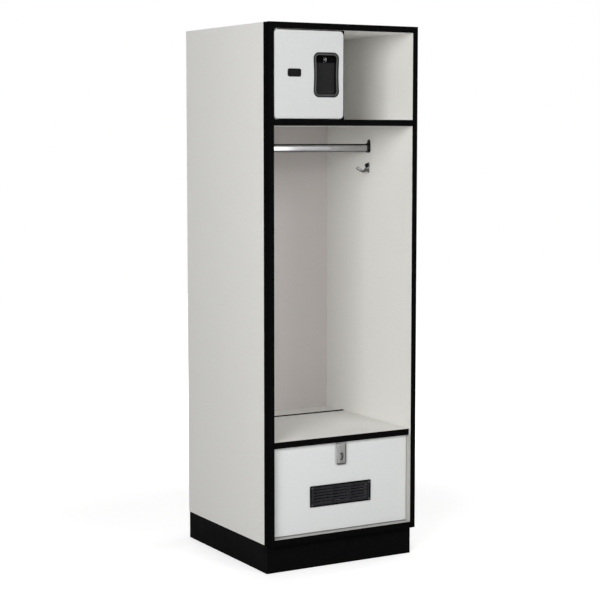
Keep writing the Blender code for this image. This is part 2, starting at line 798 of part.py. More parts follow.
def build_hanging(panels):
    """The oval rod, the sockets that carry its ends, and the coat hook under its right end."""
    rod_half = INNER - SEAM - SOCKET_FLOOR - SEAM
    plate(
        "hanging_rod",
        stadium(ROD_WIDTH, ROD_HEIGHT),
        2 * rod_half,
        (0, ROD_Y, ROD_Z),
        "YZ",
        CHROME,
        [stadium(ROD_WIDTH - 2 * ROD_WALL, ROD_HEIGHT - 2 * ROD_WALL)],
    )
    bore = (ROD_WIDTH + 2 * SEAM, ROD_HEIGHT + 2 * SEAM)
    outer = (bore[0] + 2 * SOCKET_WALL, bore[1] + 2 * SOCKET_WALL)
    tab_hole = bore[1] / 2 + SOCKET_WALL + SOCKET_RIM + SOCKET_TAB_RISE - SOCKET_TAB_WIDTH / 2
    for name, side in (("left", -1), ("right", 1)):
        wall = side * (INNER - SEAM)
        socket = plate(
            name + "_rod_socket",
            socket_outline(),
            SOCKET_FLOOR,
            (wall - side * SOCKET_FLOOR / 2, ROD_Y, ROD_Z),
            "YZ",
            DARK_STEEL,
        )
        ring_start = SOCKET_FLOOR / 2
        ring = plate(
            name + "_socket_ring",
            stadium(*outer),
            SOCKET_DEPTH - ring_start,
            (wall - side * (SOCKET_DEPTH + ring_start) / 2, ROD_Y, ROD_Z),
            "YZ",
            DARK_STEEL,
            [stadium(*bore)],
        )
        join(socket, ring)
        place = (wall - side * SOCKET_FLOOR, ROD_Y, ROD_Z + tab_hole)
        screw(name + "_socket_screw", place, (-side, 0, 0), [socket, panels[name]])
    build_hook(panels["right"])


def build_hook(panel):
    """A wall hook: an oval base, a long prong that dips and turns up, and a short stem with a ball."""
    wall = INNER - SEAM
    face = wall - HOOK_BASE_THICK
    hook = plate(
        "coat_hook",
        stadium(HOOK_BASE_WIDTH, HOOK_BASE_HEIGHT),
        HOOK_BASE_THICK,
        (wall - HOOK_BASE_THICK / 2, ROD_Y, HOOK_Z),
        "YZ",
        STEEL,
    )
    curve = bpy.data.curves.new("prong", "CURVE")
    curve.dimensions = "3D"
    curve.bevel_depth = HOOK_WIRE_RADIUS
    curve.bevel_resolution = 2
    curve.use_fill_caps = True
    curve.resolution_u = 4
    route_shares = ((0.03, -0.49), (0.14, -0.56), (0.32, -0.80), (0.55, -1.00), (0.82, -0.72), (1.00, 0.05))
    spline = curve.splines.new("BEZIER")
    spline.bezier_points.add(len(route_shares) - 1)
    for point, (out, up) in zip(spline.bezier_points, route_shares):
        point.co = (wall - HOOK_REACH * out, ROD_Y, HOOK_Z + HOOK_DROP * up)
        point.handle_left_type = "AUTO"
        point.handle_right_type = "AUTO"
    prong = add_part("prong", curve_mesh(curve, "prong"), (0, 0, 0), STEEL)
    stem_start = wall - HOOK_BASE_THICK / 2
    cut_block(
        prong,
        (stem_start, ROD_Y - HOOK_BASE_WIDTH / 2, HOOK_Z - HOOK_BASE_HEIGHT / 2),
        (wall + OVERRUN, ROD_Y + HOOK_BASE_WIDTH / 2, HOOK_Z + HOOK_BASE_HEIGHT / 2),
    )
    join(hook, prong)
    ball_centre = Vector((wall - HOOK_BALL_REACH, ROD_Y, HOOK_Z + HOOK_BALL_RISE))
    form = bmesh.new()
    bmesh.ops.create_uvsphere(
        form, u_segments=ROUND_STEPS, v_segments=ROUND_STEPS // 2, radius=HOOK_BALL_RADIUS
    )
    join(hook, add_part("ball", mesh_from(form, "ball"), ball_centre, STEEL))
    stem_end = ball_centre.x
    stem = round_bar(
        "stem",
        HOOK_WIRE_RADIUS,
        stem_start - stem_end,
        ((stem_start + stem_end) / 2, ROD_Y, ball_centre.z),
        (1, 0, 0),
        STEEL,
    )
    join(hook, stem)
    screw_rise = HOOK_BASE_HEIGHT / 2 - HOOK_BASE_WIDTH / 2 + SCREW_HEAD_RADIUS
    for name, up in (("upper", 1), ("lower", -1)):
        screw(name + "_hook_screw", (face, ROD_Y, HOOK_Z + up * screw_rise), (-1, 0, 0), [hook, panel])


def build_seat():
    """The lid, the fixed strip behind it, the long hinge between them and the cleats that carry them."""
    lid_half = INNER - SEAT_SIDE_GAP
    lid = block(
        "seat_lid",
        (-lid_half, FRONT + SEAT_RECESS + EDGE_THICK + SEAM, SEAT_UNDER),
        (lid_half, HINGE_Y - HINGE_RADIUS - SEAM, SEAT_TOP),
        GREY_LAMINATE,
    )
    block(
        "seat_strip",
        (-INNER + SEAM, HINGE_Y + HINGE_RADIUS + SEAM, SEAT_UNDER),
        (INNER - SEAM, BACK_FACE - SEAM, SEAT_TOP),
        GREY_LAMINATE,
    )
    axis = (0, HINGE_Y, HINGE_Z)
    length = 2 * lid_half
    sizes = (HINGE_RADIUS, HINGE_THICK, HINGE_REACH, length, HINGE_KNUCKLES)
    lid_leaf = hinge_leaf("lid_hinge_leaf", *sizes, 1, axis, (1, 0, 0, 1), DARK_STEEL)
    hinge_leaf("strip_hinge_leaf", *sizes, 0, axis, (-1, 0, 0, 1), DARK_STEEL)
    round_bar("lid_hinge_pin", HINGE_PIN_RADIUS, length, axis, (1, 0, 0), DARK_STEEL)
    for name, side in (("left", -1), ("right", 1)):
        low, high = sided(side, INNER - SEAM - BOARD, INNER - SEAM)
        top = SEAT_UNDER - SEAM
        block(
            name + "_seat_cleat",
            (low, CHEST_REAR + SEAM, top - CLEAT_HEIGHT),
            (high, BACK_FACE - SEAM, top),
            GREY_LAMINATE,
        )
    return lid, lid_leaf


def build_chest_front():
    """The fixed front of the chest, with the vent cut through it, its grille and the grille's screws."""
    half = INNER - CHEST_SIDE_GAP
    panel = block(
        "chest_front_panel",
        (-half, CHEST_FACE, FLOOR + CHEST_FOOT_GAP),
        (half, CHEST_REAR, SEAT_UNDER - CHEST_HEAD_GAP),
        DOOR_FOIL,
    )
    soften(panel, CHEST_ROUNDING, 2)
    vent_half = GRILLE_WIDTH / 2 - VENT_LEDGE
    vent_rise = GRILLE_HEIGHT / 2 - VENT_LEDGE
    cut_block(
        panel,
        (-vent_half, CHEST_FACE - OVERRUN, GRILLE_Z - vent_rise),
        (vent_half, CHEST_REAR + OVERRUN, GRILLE_Z + vent_rise),
    )
    grille_rear = CHEST_FACE - SEAM
    grille_middle = grille_rear - GRILLE_THICK / 2
    across = GRILLE_WIDTH / 2 - GRILLE_SCREW_INSET
    up = GRILLE_HEIGHT / 2 - GRILLE_SCREW_INSET
    corners = (("upper_left", -1, 1), ("upper_right", 1, 1), ("lower_left", -1, -1), ("lower_right", 1, -1))
    grille = plate(
        "vent_grille",
        rounded_rectangle(GRILLE_WIDTH, GRILLE_HEIGHT, GRILLE_CORNER),
        GRILLE_THICK,
        (0, grille_middle, GRILLE_Z),
        "XZ",
        BLACK_PLASTIC,
        [circle(SCREW_SHANK_RADIUS + SEAM, (right * across, high * up)) for name, right, high in corners],
    )
    for name, right, high in corners:
        place = (right * across, grille_rear - GRILLE_THICK, GRILLE_Z + high * up)
        screw("grille_screw_" + name, place, (0, -1, 0), [panel])
    column = (GRILLE_WIDTH - 2 * GRILLE_SIDE_RIM + GRILLE_BAR) / GRILLE_COLUMNS
    row = (GRILLE_HEIGHT - 2 * GRILLE_TOP_RIM) / GRILLE_ROWS
    slope = Matrix.Rotation(-GRILLE_SLOPE, 3, "X")
    form = bmesh.new()
    for column_index in range(GRILLE_COLUMNS):
        for row_index in range(GRILLE_ROWS):
            across = (column_index - (GRILLE_COLUMNS - 1) / 2) * column
            up = (row_index - (GRILLE_ROWS - 1) / 2) * row
            made = bmesh.ops.create_cube(form, size=1)["verts"]
            size = (column - GRILLE_BAR, 2 * OVERRUN + GRILLE_THICK, row - GRILLE_BLADE)
            bmesh.ops.scale(form, vec=size, verts=made)
            bmesh.ops.rotate(form, matrix=slope, verts=made)
            bmesh.ops.translate(form, vec=(across, 0, up), verts=made)
    place = (0, grille_middle, GRILLE_Z)
    cut(grille, as_cutter(add_part("grille_slots", mesh_from(form, "grille_slots"), place, BLACK_PLASTIC)))


def build_hasp(lid, lid_leaf, lid_edge):
    """The hasp: a leaf under the lid, a strap with a window on its pin, and a staple with a ring."""
    axis = Vector((0, HASP_Y, HASP_Z))
    sizes = (HASP_RADIUS, HASP_THICK, HASP_REACH, HASP_WIDTH, HASP_KNUCKLES)
    leaf = hinge_leaf("hasp_leaf", *sizes, 0, axis, (0, -1, -1, 0), STEEL)
    sizes = (HASP_RADIUS, STRAP_THICK, STRAP_DROP, HASP_WIDTH, HASP_KNUCKLES)
    strap = hinge_leaf("hasp_strap", *sizes, 1, axis, (1, 0, 0, 1), STEEL)
    trim_height = STRAP_DROP + 2 * HASP_RADIUS + 2 * STRAP_CORNER
    trim = plate(
        "strap_trim",
        rounded_rectangle(HASP_WIDTH, trim_height, STRAP_CORNER),
        2 * (HASP_RADIUS + OVERRUN),
        (0, HASP_Y, HASP_Z - STRAP_DROP + trim_height / 2),
        "XZ",
        STEEL,
    )
    boolean(strap, as_cutter(trim), "INTERSECT")
    window = plate(
        "strap_window",
        rounded_rectangle(WINDOW_WIDTH, WINDOW_HEIGHT, STRAP_CORNER / 2),
        2 * (HASP_RADIUS + OVERRUN),
        (0, HASP_Y, HASP_Z - WINDOW_DROP - WINDOW_HEIGHT / 2),
        "XZ",
        STEEL,
    )
    cut(strap, as_cutter(window))
    pin = round_bar("hasp_pin", HINGE_PIN_RADIUS, HASP_WIDTH, axis, (1, 0, 0), STEEL)

    lug_radius = RING_WIRE_RADIUS + SEAM + LUG_WALL
    staple = plate(
        "staple_plate",
        rounded_rectangle(STAPLE_WIDTH, STAPLE_HEIGHT, STAPLE_CORNER),
        STAPLE_THICK,
        (0, STAPLE_FACE + STAPLE_THICK / 2, RING_Z - RING_HEIGHT / 2),
        "XZ",
        STEEL,
    )
    lug = block(
        "staple_lug",
        (-LUG_WIDTH / 2, RING_Y - lug_radius, RING_Z - lug_radius),
        (LUG_WIDTH / 2, STAPLE_FACE + STAPLE_THICK / 2, RING_Z + lug_radius),
        STEEL,
    )
    join(staple, lug)
    drill([staple], RING_WIRE_RADIUS + SEAM, (-LUG_WIDTH, RING_Y, RING_Z), (LUG_WIDTH, RING_Y, RING_Z))

    curve = bpy.data.curves.new("staple_ring", "CURVE")
    curve.dimensions = "3D"
    curve.bevel_depth = RING_WIRE_RADIUS
    curve.bevel_resolution = 2
    route = rounded_rectangle(RING_WIDTH, RING_HEIGHT, RING_CORNER)
    spline = curve.splines.new("POLY")
    spline.points.add(len(route) - 1)
    for point, (across, up) in zip(spline.points, route):
        point.co.xyz = across, 0, up - RING_HEIGHT / 2
    spline.use_cyclic_u = True
    ring = add_part("staple_ring", curve_mesh(curve, "staple_ring"), (0, RING_Y, RING_Z), STEEL)
    round_off_shading(ring)

    strap_pivot = swing("strap_axis", axis, [strap])
    swing("lid_axis", (0, HINGE_Y, HINGE_Z), [lid, lid_leaf, lid_edge, leaf, pin, strap_pivot])
    swing("ring_axis", (0, RING_Y, RING_Z), [ring])


carcass_panels = build_carcass()
build_plinth()
build_edging()
build_door()
build_padlock_eye()
build_hanging(carcass_panels)
seat_lid, seat_lid_leaf = build_seat()
build_chest_front()
build_hasp(seat_lid, seat_lid_leaf, PARTS.objects["lid_edge_strip"])
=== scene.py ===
# %% [markdown]
# # An open-front locker, piece by piece
#
# This lesson dresses a locker for a changing room. The case is made of laminated board with a black edge.
# A small locked compartment and an open cubby are at the top, the bay below them has a rod and a coat
# hook, and the seat is the lid of a chest with a hasp and a vent.
#
# The solids of the locker come first, as a frame. Every new piece takes its place and size from them, so
# nothing has to be fitted by eye. All lengths are in metres. The front faces -Y and X runs to the right.

import json
import math

import bpy
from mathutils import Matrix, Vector

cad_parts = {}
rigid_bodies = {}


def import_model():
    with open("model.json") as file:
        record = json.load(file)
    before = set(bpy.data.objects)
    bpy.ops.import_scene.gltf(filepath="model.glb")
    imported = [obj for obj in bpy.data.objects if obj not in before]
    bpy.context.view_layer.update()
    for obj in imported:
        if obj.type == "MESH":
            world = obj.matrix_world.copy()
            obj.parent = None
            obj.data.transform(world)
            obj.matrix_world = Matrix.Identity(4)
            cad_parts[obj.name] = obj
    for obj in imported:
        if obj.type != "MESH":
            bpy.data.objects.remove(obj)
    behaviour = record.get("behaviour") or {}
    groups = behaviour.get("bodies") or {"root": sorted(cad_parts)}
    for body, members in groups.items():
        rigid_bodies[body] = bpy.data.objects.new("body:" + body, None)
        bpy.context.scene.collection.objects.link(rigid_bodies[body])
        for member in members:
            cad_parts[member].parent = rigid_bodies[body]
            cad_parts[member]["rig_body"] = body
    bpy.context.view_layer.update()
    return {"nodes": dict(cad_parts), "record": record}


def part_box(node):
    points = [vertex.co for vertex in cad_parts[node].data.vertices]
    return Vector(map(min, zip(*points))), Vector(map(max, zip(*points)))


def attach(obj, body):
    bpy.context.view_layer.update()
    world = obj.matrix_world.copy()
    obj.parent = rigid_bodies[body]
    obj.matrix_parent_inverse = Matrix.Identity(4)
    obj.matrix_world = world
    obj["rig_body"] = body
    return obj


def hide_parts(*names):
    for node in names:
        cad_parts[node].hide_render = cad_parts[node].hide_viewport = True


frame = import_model()
NODES = frame["nodes"]

# %% [markdown]
# ## Camera
#
# The camera stands a little over five metres away, to the left of the locker and at about the height of
# its rod. A long lens keeps the upright edges nearly parallel, as in a catalogue picture. The small shift
# moves the picture down without tilting the camera further.

# %% Place the camera
CAMERA_PLACE = (-3.0057, -5.2348, 1.5465)
CAMERA_TURN = 29.878
CAMERA_TILT = -5.494
CAMERA_LENS = 97.74
CAMERA_SENSOR = 36
CAMERA_SHIFT = -0.015

camera_data = bpy.data.cameras.new("camera")
camera_data.lens = CAMERA_LENS
camera_data.sensor_width = CAMERA_SENSOR
camera_data.shift_y = CAMERA_SHIFT
camera = bpy.data.objects.new("camera", camera_data)
camera.location = CAMERA_PLACE
camera.rotation_euler = (math.radians(90 + CAMERA_TILT), 0, math.radians(-CAMERA_TURN))
bpy.context.scene.collection.objects.link(camera)
bpy.context.scene.camera = camera
print("camera:", CAMERA_PLACE, "lens:", CAMERA_LENS)

# %% [markdown]
# ## Backdrop and light
#
# The locker stands on a white floor in a white room. The room's own light is low and fills every side,
# while the camera and the bright metal see the room as plain white. The floor looks white to the camera
# too, but near the locker only part of that is its own glow, so it still takes a soft shadow.

# %% Make the room
WORLD_STRENGTH = 0.14
ROOM_LIGHT = (1.0, 0.995, 0.985, 1)
WHITE = (1, 1, 1, 1)


def set_up(node, sockets):
    """Sets some of a node's sockets by their names."""
    for socket, value in sockets.items():
        node.inputs[socket].default_value = value
    return node


world = bpy.data.worlds.new("room")
bpy.context.scene.world = world
world.use_nodes = True
tree = world.node_tree
tree.nodes.clear()
output = tree.nodes.new("ShaderNodeOutputWorld")
seen_or_light = tree.nodes.new("ShaderNodeMixShader")
path = tree.nodes.new("ShaderNodeLightPath")
seen = tree.nodes.new("ShaderNodeMath")
seen.operation = "MAXIMUM"
light = set_up(tree.nodes.new("ShaderNodeBackground"), {"Color": ROOM_LIGHT, "Strength": WORLD_STRENGTH})
white = set_up(tree.nodes.new("ShaderNodeBackground"), {"Color": WHITE, "Strength": 1.0})
tree.links.new(path.outputs["Is Camera Ray"], seen.inputs[0])
tree.links.new(path.outputs["Is Glossy Ray"], seen.inputs[1])
tree.links.new(seen.outputs[0], seen_or_light.inputs["Fac"])
tree.links.new(light.outputs[0], seen_or_light.inputs[1])
tree.links.new(white.outputs[0], seen_or_light.inputs[2])
tree.links.new(seen_or_light.outputs[0], output.inputs["Surface"])

bpy.context.scene.view_settings.view_transform = "Standard"
print("room light:", WORLD_STRENGTH)

# %% Lay the floor
FLOOR_HALF = 9.0
FLOOR_DROP = 0.0005
FLOOR_GREY = (0.66, 0.66, 0.66, 1)
NEAR_GLOW = 0.58
FAR_GLOW = 1.0
GLOW_START = 0.9
GLOW_END = 2.6

bpy.ops.object.select_all(action="DESELECT")
bpy.ops.mesh.primitive_plane_add(size=2 * FLOOR_HALF, location=(0, 0, -FLOOR_DROP))
floor = bpy.context.object
floor.name = "floor"
floor_paint = bpy.data.materials.new("floor_paint")
floor_paint.use_nodes = True
tree = floor_paint.node_tree
shader = tree.nodes["Principled BSDF"]
matt = {"Roughness": 0.9, "Specular IOR Level": 0.0}
set_up(shader, {"Base Color": FLOOR_GREY, "Emission Color": WHITE, **matt})
path = tree.nodes.new("ShaderNodeLightPath")
spot = tree.nodes.new("ShaderNodeTexCoord")
distance = tree.nodes.new("ShaderNodeVectorMath")
distance.operation = "LENGTH"
ranges = {"From Min": GLOW_START, "From Max": GLOW_END, "To Min": NEAR_GLOW, "To Max": FAR_GLOW}
spread = set_up(tree.nodes.new("ShaderNodeMapRange"), ranges)
spread.interpolation_type = "SMOOTHSTEP"
glow = tree.nodes.new("ShaderNodeMath")
glow.operation = "MULTIPLY"
tree.links.new(spot.outputs["Object"], distance.inputs[0])
tree.links.new(distance.outputs["Value"], spread.inputs["Value"])
tree.links.new(spread.outputs["Result"], glow.inputs[1])
tree.links.new(path.outputs["Is Camera Ray"], glow.inputs[0])
tree.links.new(glow.outputs[0], shader.inputs["Emission Strength"])
floor.data.materials.append(floor_paint)
print("floor:", 2 * FLOOR_HALF, "m wide")

# %% [markdown]
# Every lamp is a soft rectangle that points at the middle of the bay. Three stand in front on the left, at
# the height of the bay, so that their light reaches the inner right wall. One hangs high in front. A
# narrow upright one on the right is there for the chromed rod, which mirrors it as a bright patch. Two
# more light the right side and the back, which the picture doesn't show.

# %% Hang the lamps
# Each lamp: its place, its width and height, and its power in watts.
LAMPS = {
    "up_left": ((-3.6, -3.2, 2.5), 2.0, 2.0, 137.0),
    "mid_left": ((-3.0, -4.0, 2.0), 1.6, 1.6, 20.0),
    "near_left": ((-2.0, -4.6, 2.0), 1.6, 1.6, 26.0),
    "front_high": ((1.2, -4.6, 3.2), 1.4, 1.4, 58.0),
    "rod_strip": ((2.32, -4.6, 1.45), 0.36, 2.0, 7.0),
    "right": ((4.8, 0.8, 2.4), 2.4, 2.4, 70.0),
    "rear": ((0.6, 4.8, 2.4), 2.4, 2.4, 70.0),
}
AIM = Vector((0, 0, 1.1))

for name, (place, width, height, power) in LAMPS.items():
    lamp_data = bpy.data.lights.new(name, "AREA")
    lamp_data.shape = "RECTANGLE"
    lamp_data.size = width
    lamp_data.size_y = height
    lamp_data.energy = power
    lamp = bpy.data.objects.new(name, lamp_data)
    lamp.location = place
    lamp.rotation_euler = (AIM - Vector(place)).to_track_quat("-Z", "Y").to_euler()
    bpy.context.scene.collection.objects.link(lamp)
    print("lamp:", name, power, "W")

# %% [markdown]
# ## Finishes
#
# A real surface is never one flat colour. Each finish here starts as a plain shader, and then gets a
# faint mottle in its colour, some unevenness in its gloss and a fine grain in its relief. All of these
# read the Object coordinates, so the pattern keeps its real size on every piece and stays still when a
# door or a lid moves.

# %% Noise at a real size
EVEN = (1, 1, 1)


def add_noise(tree, scale, detail, stretch):
    """A noise pattern: scale is in spots per metre, and stretch squeezes it along an axis."""
    place = tree.nodes.new("ShaderNodeTexCoord")
    mapping = set_up(tree.nodes.new("ShaderNodeMapping"), {"Scale": stretch})
    noise = set_up(tree.nodes.new("ShaderNodeTexNoise"), {"Scale": scale, "Detail": detail})
    tree.links.new(place.outputs["Object"], mapping.inputs["Vector"])
    tree.links.new(mapping.outputs["Vector"], noise.inputs["Vector"])
    return noise


def lead(tree, output, socket):
    """Leads a pattern's result into a socket of the shader."""
    tree.links.new(output, tree.nodes["Principled BSDF"].inputs[socket])


# %% Mottle, gloss and grain
MOTTLE_LOW = 0.35
MOTTLE_HIGH = 0.65
MOTTLE_DETAIL = 4
GLOSS_LOW = 0.3
GLOSS_HIGH = 0.7
GLOSS_DETAIL = 3
GRAIN_DETAIL = 2


def mottle(tree, dark, light, scale, stretch=EVEN):
    """Fills the colour with a soft mix of two tones."""
    noise = add_noise(tree, scale, MOTTLE_DETAIL, stretch)
    tones = tree.nodes.new("ShaderNodeValToRGB")
    tones.color_ramp.elements[0].position = MOTTLE_LOW
    tones.color_ramp.elements[0].color = (*dark, 1)
    tones.color_ramp.elements[1].position = MOTTLE_HIGH
    tones.color_ramp.elements[1].color = (*light, 1)
    tree.links.new(noise.outputs["Fac"], tones.inputs["Fac"])
    lead(tree, tones.outputs["Color"], "Base Color")


def uneven_gloss(tree, low, high, scale, stretch=EVEN):
    """Lets the roughness wander between two values."""
    noise = add_noise(tree, scale, GLOSS_DETAIL, stretch)
    ranges = {"From Min": GLOSS_LOW, "From Max": GLOSS_HIGH, "To Min": low, "To Max": high}
    spread = set_up(tree.nodes.new("ShaderNodeMapRange"), ranges)
    tree.links.new(noise.outputs["Fac"], spread.inputs["Value"])
    lead(tree, spread.outputs["Result"], "Roughness")


def relief(tree, strength, depth, scale, stretch=EVEN):
    """A fine grain in the surface. Depth is in metres."""
    noise = add_noise(tree, scale, GRAIN_DETAIL, stretch)
    bump = set_up(tree.nodes.new("ShaderNodeBump"), {"Strength": strength, "Distance": depth})
    tree.links.new(noise.outputs["Fac"], bump.inputs["Height"])
    lead(tree, bump.outputs["Normal"], "Normal")


# %% A whole finish
def make_finish(name, shine, tones, gloss, grain=None):
    """A finish from its groups of values.

    Shine: roughness, metallic, specular. Tones: dark, light, spots per metre. Gloss: lowest and highest
    roughness, patches per metre. Grain: strength, depth, grains per metre. A stretch may end a group.
    """
    material = bpy.data.materials.new(name)
    material.use_nodes = True
    tree = material.node_tree
    roughness, metallic, specular = shine
    plain = {"Roughness": roughness, "Metallic": metallic, "Specular IOR Level": specular}
    set_up(tree.nodes["Principled BSDF"], plain)
    mottle(tree, *tones)
    uneven_gloss(tree, *gloss)
    if grain:
        relief(tree, *grain)
    print("finish:", name)
    return material


# %% [markdown]
# ## Board finishes
#
# Laminate is printed paper pressed on the board in resin, so it is even and has only a fine grain. The
# boards that face inwards above the bay are painted a little paler than the sides, as painted light for
# their shaded place. The back board is a warmer grey, painted darker as the shade at the back of the bay,
# and the bottom board is painted darker as the shade low down. The narrow strip of each side board in
# front of the chest is painted darker, as shade. It needs no piece of its own: two tests on the Object
# coordinates, one on Y and one on Z, pick it out inside the material. The foil on the door and the chest
# front is smoother and shines a little. It is one foil in two tones: the door's copy is painted darker and
# the chest front's paler, as painted shade and light for how much light each place gets.

# %% Laminate and foil
def laminate(name, dark, light):
    return make_finish(name, (0.5, 0, 0.2), (dark, light, 260), (0.42, 0.58, 9), (0.25, 0.0004, 900))


def foil(name, dark, light):
    return make_finish(name, (0.34, 0, 0.45), (dark, light, 180), (0.28, 0.40, 7), (0.2, 0.0004, 700))


LIGHT_GREYS = ((0.785, 0.780, 0.750), (0.815, 0.810, 0.780))
LAMINATE = laminate("light_grey_laminate", *LIGHT_GREYS)
# Painted light: a paler copy of the laminate for the boards in the shaded inside.
INNER_LAMINATE_LIT = laminate("pale_inner_laminate_lit", (0.885, 0.880, 0.850), (0.915, 0.910, 0.880))
SIDE_LAMINATE_SHADED = laminate("light_grey_side_laminate_shaded", *LIGHT_GREYS)
# Painted shade: the back board's laminate is darker, for the shade at the back of the bay.
BACK_LAMINATE_SHADED = laminate("warm_grey_laminate_shaded", (0.632, 0.596, 0.584), (0.658, 0.620, 0.608))
# Painted shade and light: one foil in two copies, darker on the door and paler on the chest front.
DOOR_FOIL_SHADED = foil("door_foil_shaded", (0.560, 0.573, 0.567), (0.580, 0.593, 0.587))
CHEST_FOIL_LIT = foil("chest_foil_lit", (0.700, 0.715, 0.708), (0.724, 0.739, 0.732))


# %% The strip in front of the chest, painted darker as shade
def paint_shade_in_front(material, front, height, tone):
    """Paints shade: takes the colour down where the surface lies in front of a line and below a height."""
    tree = material.node_tree
    colour = tree.nodes["Principled BSDF"].inputs["Base Color"]
    place = tree.nodes.new("ShaderNodeTexCoord")
    parts = tree.nodes.new("ShaderNodeSeparateXYZ")
    tree.links.new(place.outputs["Object"], parts.inputs["Vector"])
    both = tree.nodes.new("ShaderNodeMath")
    both.operation = "MULTIPLY"
    for number, (axis, limit) in enumerate((("Y", front), ("Z", height))):
        test = tree.nodes.new("ShaderNodeMath")
        test.operation = "LESS_THAN"
        test.inputs[1].default_value = limit
        tree.links.new(parts.outputs[axis], test.inputs[0])
        tree.links.new(test.outputs[0], both.inputs[number])
    mix = set_up(tree.nodes.new("ShaderNodeMixRGB"), {"Color2": (*tone, 1)})
    mix.blend_type = "MULTIPLY"
    tree.links.new(both.outputs[0], mix.inputs["Fac"])
    tree.links.new(colour.links[0].from_socket, mix.inputs["Color1"])
    tree.links.new(mix.outputs["Color"], colour)


# Painted shade on the strip of the side boards in front of the chest.
STRIP_OVERLAP = 0.002
STRIP_SHADE_TONE = (0.60, 0.59, 0.575)
strip_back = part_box("chest_front_panel")[0][1] + STRIP_OVERLAP
strip_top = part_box("lid_edge_strip")[0][2]
paint_shade_in_front(SIDE_LAMINATE_SHADED, strip_back, strip_top, STRIP_SHADE_TONE)
print("duller strip: in front of", round(strip_back, 4), "and below", round(strip_top, 4))

# %% Shaded bottom board and black edging
# Painted shade: the bottom board is a darker grey, for the shade low down.
BOTTOM_BOARD_SHADED = make_finish(
    "grey_board_shaded",
    (0.55, 0, 0.15),
    ((0.440, 0.438, 0.425), (0.480, 0.478, 0.465), 260),
    (0.48, 0.62, 9),
    (0.25, 0.0004, 900),
)
BLACK_LAMINATE = make_finish(
    "black_laminate",
    (0.55, 0, 0.02),
    ((0.0024, 0.0024, 0.0024), (0.0036, 0.0036, 0.0036), 150),
    (0.45, 0.65, 12),
    (0.3, 0.0004, 800),
)
BLACK_EDGE = make_finish(
    "black_edging",
    (0.45, 0, 0.0),
    ((0.0030, 0.0030, 0.0031), (0.0044, 0.0044, 0.0046), 120),
    (0.36, 0.52, 15),
    (0.25, 0.0003, 1200),
)

# %% [markdown]
# ## Plastic and metal finishes
#
# The plastics differ in how black they are: the cup's rim is a greyer black, its bead is a paler grey as a
# painted highlight, and the grille is a dark grey. The metals are zinc, dull and dark plated steel, nickel
# and chrome; the darker nickel is painted shade on the rod's underside, and some of the others are painted
# on parts of pieces as light and shade, as said where they are used. A bright metal shows its
# surroundings, so its base colour is what tells it from the next one.

# %% Plastic finishes
BLACK_PLASTIC = make_finish(
    "moulded_black_plastic",
    (0.36, 0, 0.1),
    ((0.0060, 0.0062, 0.0064), (0.0085, 0.0087, 0.0090), 300),
    (0.30, 0.44, 60),
    (0.3, 0.0002, 1500),
)
BEAD_HIGHLIGHT_GREY = make_finish(
    "grey_plastic_highlight",
    (0.4, 0, 0.2),
    ((0.062, 0.064, 0.064), (0.080, 0.082, 0.082), 240),
    (0.34, 0.48, 60),
)
RIM_GREY = make_finish(
    "greyer_black_plastic",
    (0.45, 0, 0.1),
    ((0.018, 0.019, 0.019), (0.034, 0.035, 0.035), 130),
    (0.38, 0.55, 60),
)
PLATE_BLACK = make_finish(
    "matt_black_plastic",
    (0.5, 0, 0.05),
    ((0.0050, 0.0050, 0.0052), (0.0080, 0.0080, 0.0084), 300),
    (0.42, 0.6, 60),
    (0.3, 0.0002, 1500),
)
VENT_GREY = make_finish(
    "dark_grey_plastic",
    (0.5, 0, 0.05),
    ((0.0190, 0.0195, 0.0220), (0.0240, 0.0245, 0.0275), 260),
    (0.42, 0.6, 60),
)
NYLON = make_finish(
    "white_nylon",
    (0.5, 0, 0.4),
    ((0.72, 0.71, 0.67), (0.78, 0.77, 0.73), 90),
    (0.42, 0.6, 70),
)

# %% Metal finishes
STEEL = make_finish(
    "zinc_plated_steel",
    (0.4, 0.35, 0.4),
    ((0.27, 0.27, 0.265), (0.35, 0.35, 0.345), 220, (1, 1, 0.15)),
    (0.34, 0.5, 400, (1, 1, 0.1)),
    (0.15, 0.0002, 900, (1, 1, 0.1)),
)
BRIGHT_ZINC = make_finish(
    "bright_zinc",
    (0.42, 0.2, 0.4),
    ((0.46, 0.46, 0.455), (0.54, 0.54, 0.535), 240),
    (0.36, 0.5, 300),
)
DULL_STEEL = make_finish(
    "dull_steel",
    (0.5, 0.2, 0.25),
    ((0.085, 0.085, 0.085), (0.13, 0.13, 0.13), 220),
    (0.42, 0.6, 200),
)
UNDERSIDE_SHADE_NICKEL = make_finish(
    "underside_shade_nickel",
    (0.22, 1.0, 0.5),
    ((0.085, 0.085, 0.085), (0.13, 0.13, 0.13), 160),
    (0.18, 0.3, 120),
)
CHROME = make_finish(
    "polished_chrome",
    (0.1, 1.0, 0.5),
    ((0.345, 0.345, 0.35), (0.375, 0.375, 0.38), 40, (0.2, 1, 1)),
    (0.08, 0.14, 60, (0.1, 1, 1)),
)
DARK_STEEL = make_finish(
    "dark_plated_steel",
    (0.4, 1.0, 0.5),
    ((0.018, 0.018, 0.018), (0.030, 0.030, 0.030), 150),
    (0.32, 0.5, 80),
    (0.2, 0.0002, 900),
)

# %% [markdown]
# ## The solids that stay
#
# Many boards already have the right shape. They stay as they are and only get a finish, through their
# material slots. The slot's name says which finish that is, apart from the boards whose tone is painted
# paler or darker to stand for the light and shade at their place in the locker.

# %% Give the solids their finishes
SLOT_FINISHES = {
    "grey_laminate": LAMINATE,
    "door_foil": DOOR_FOIL_SHADED,
    "black_laminate": BLACK_LAMINATE,
    "black_edge": BLACK_EDGE,
    "black_plastic": BLACK_PLASTIC,
    "bright_steel": STEEL,
    "chrome": CHROME,
    "dark_steel": DARK_STEEL,
    "nylon": NYLON,
}
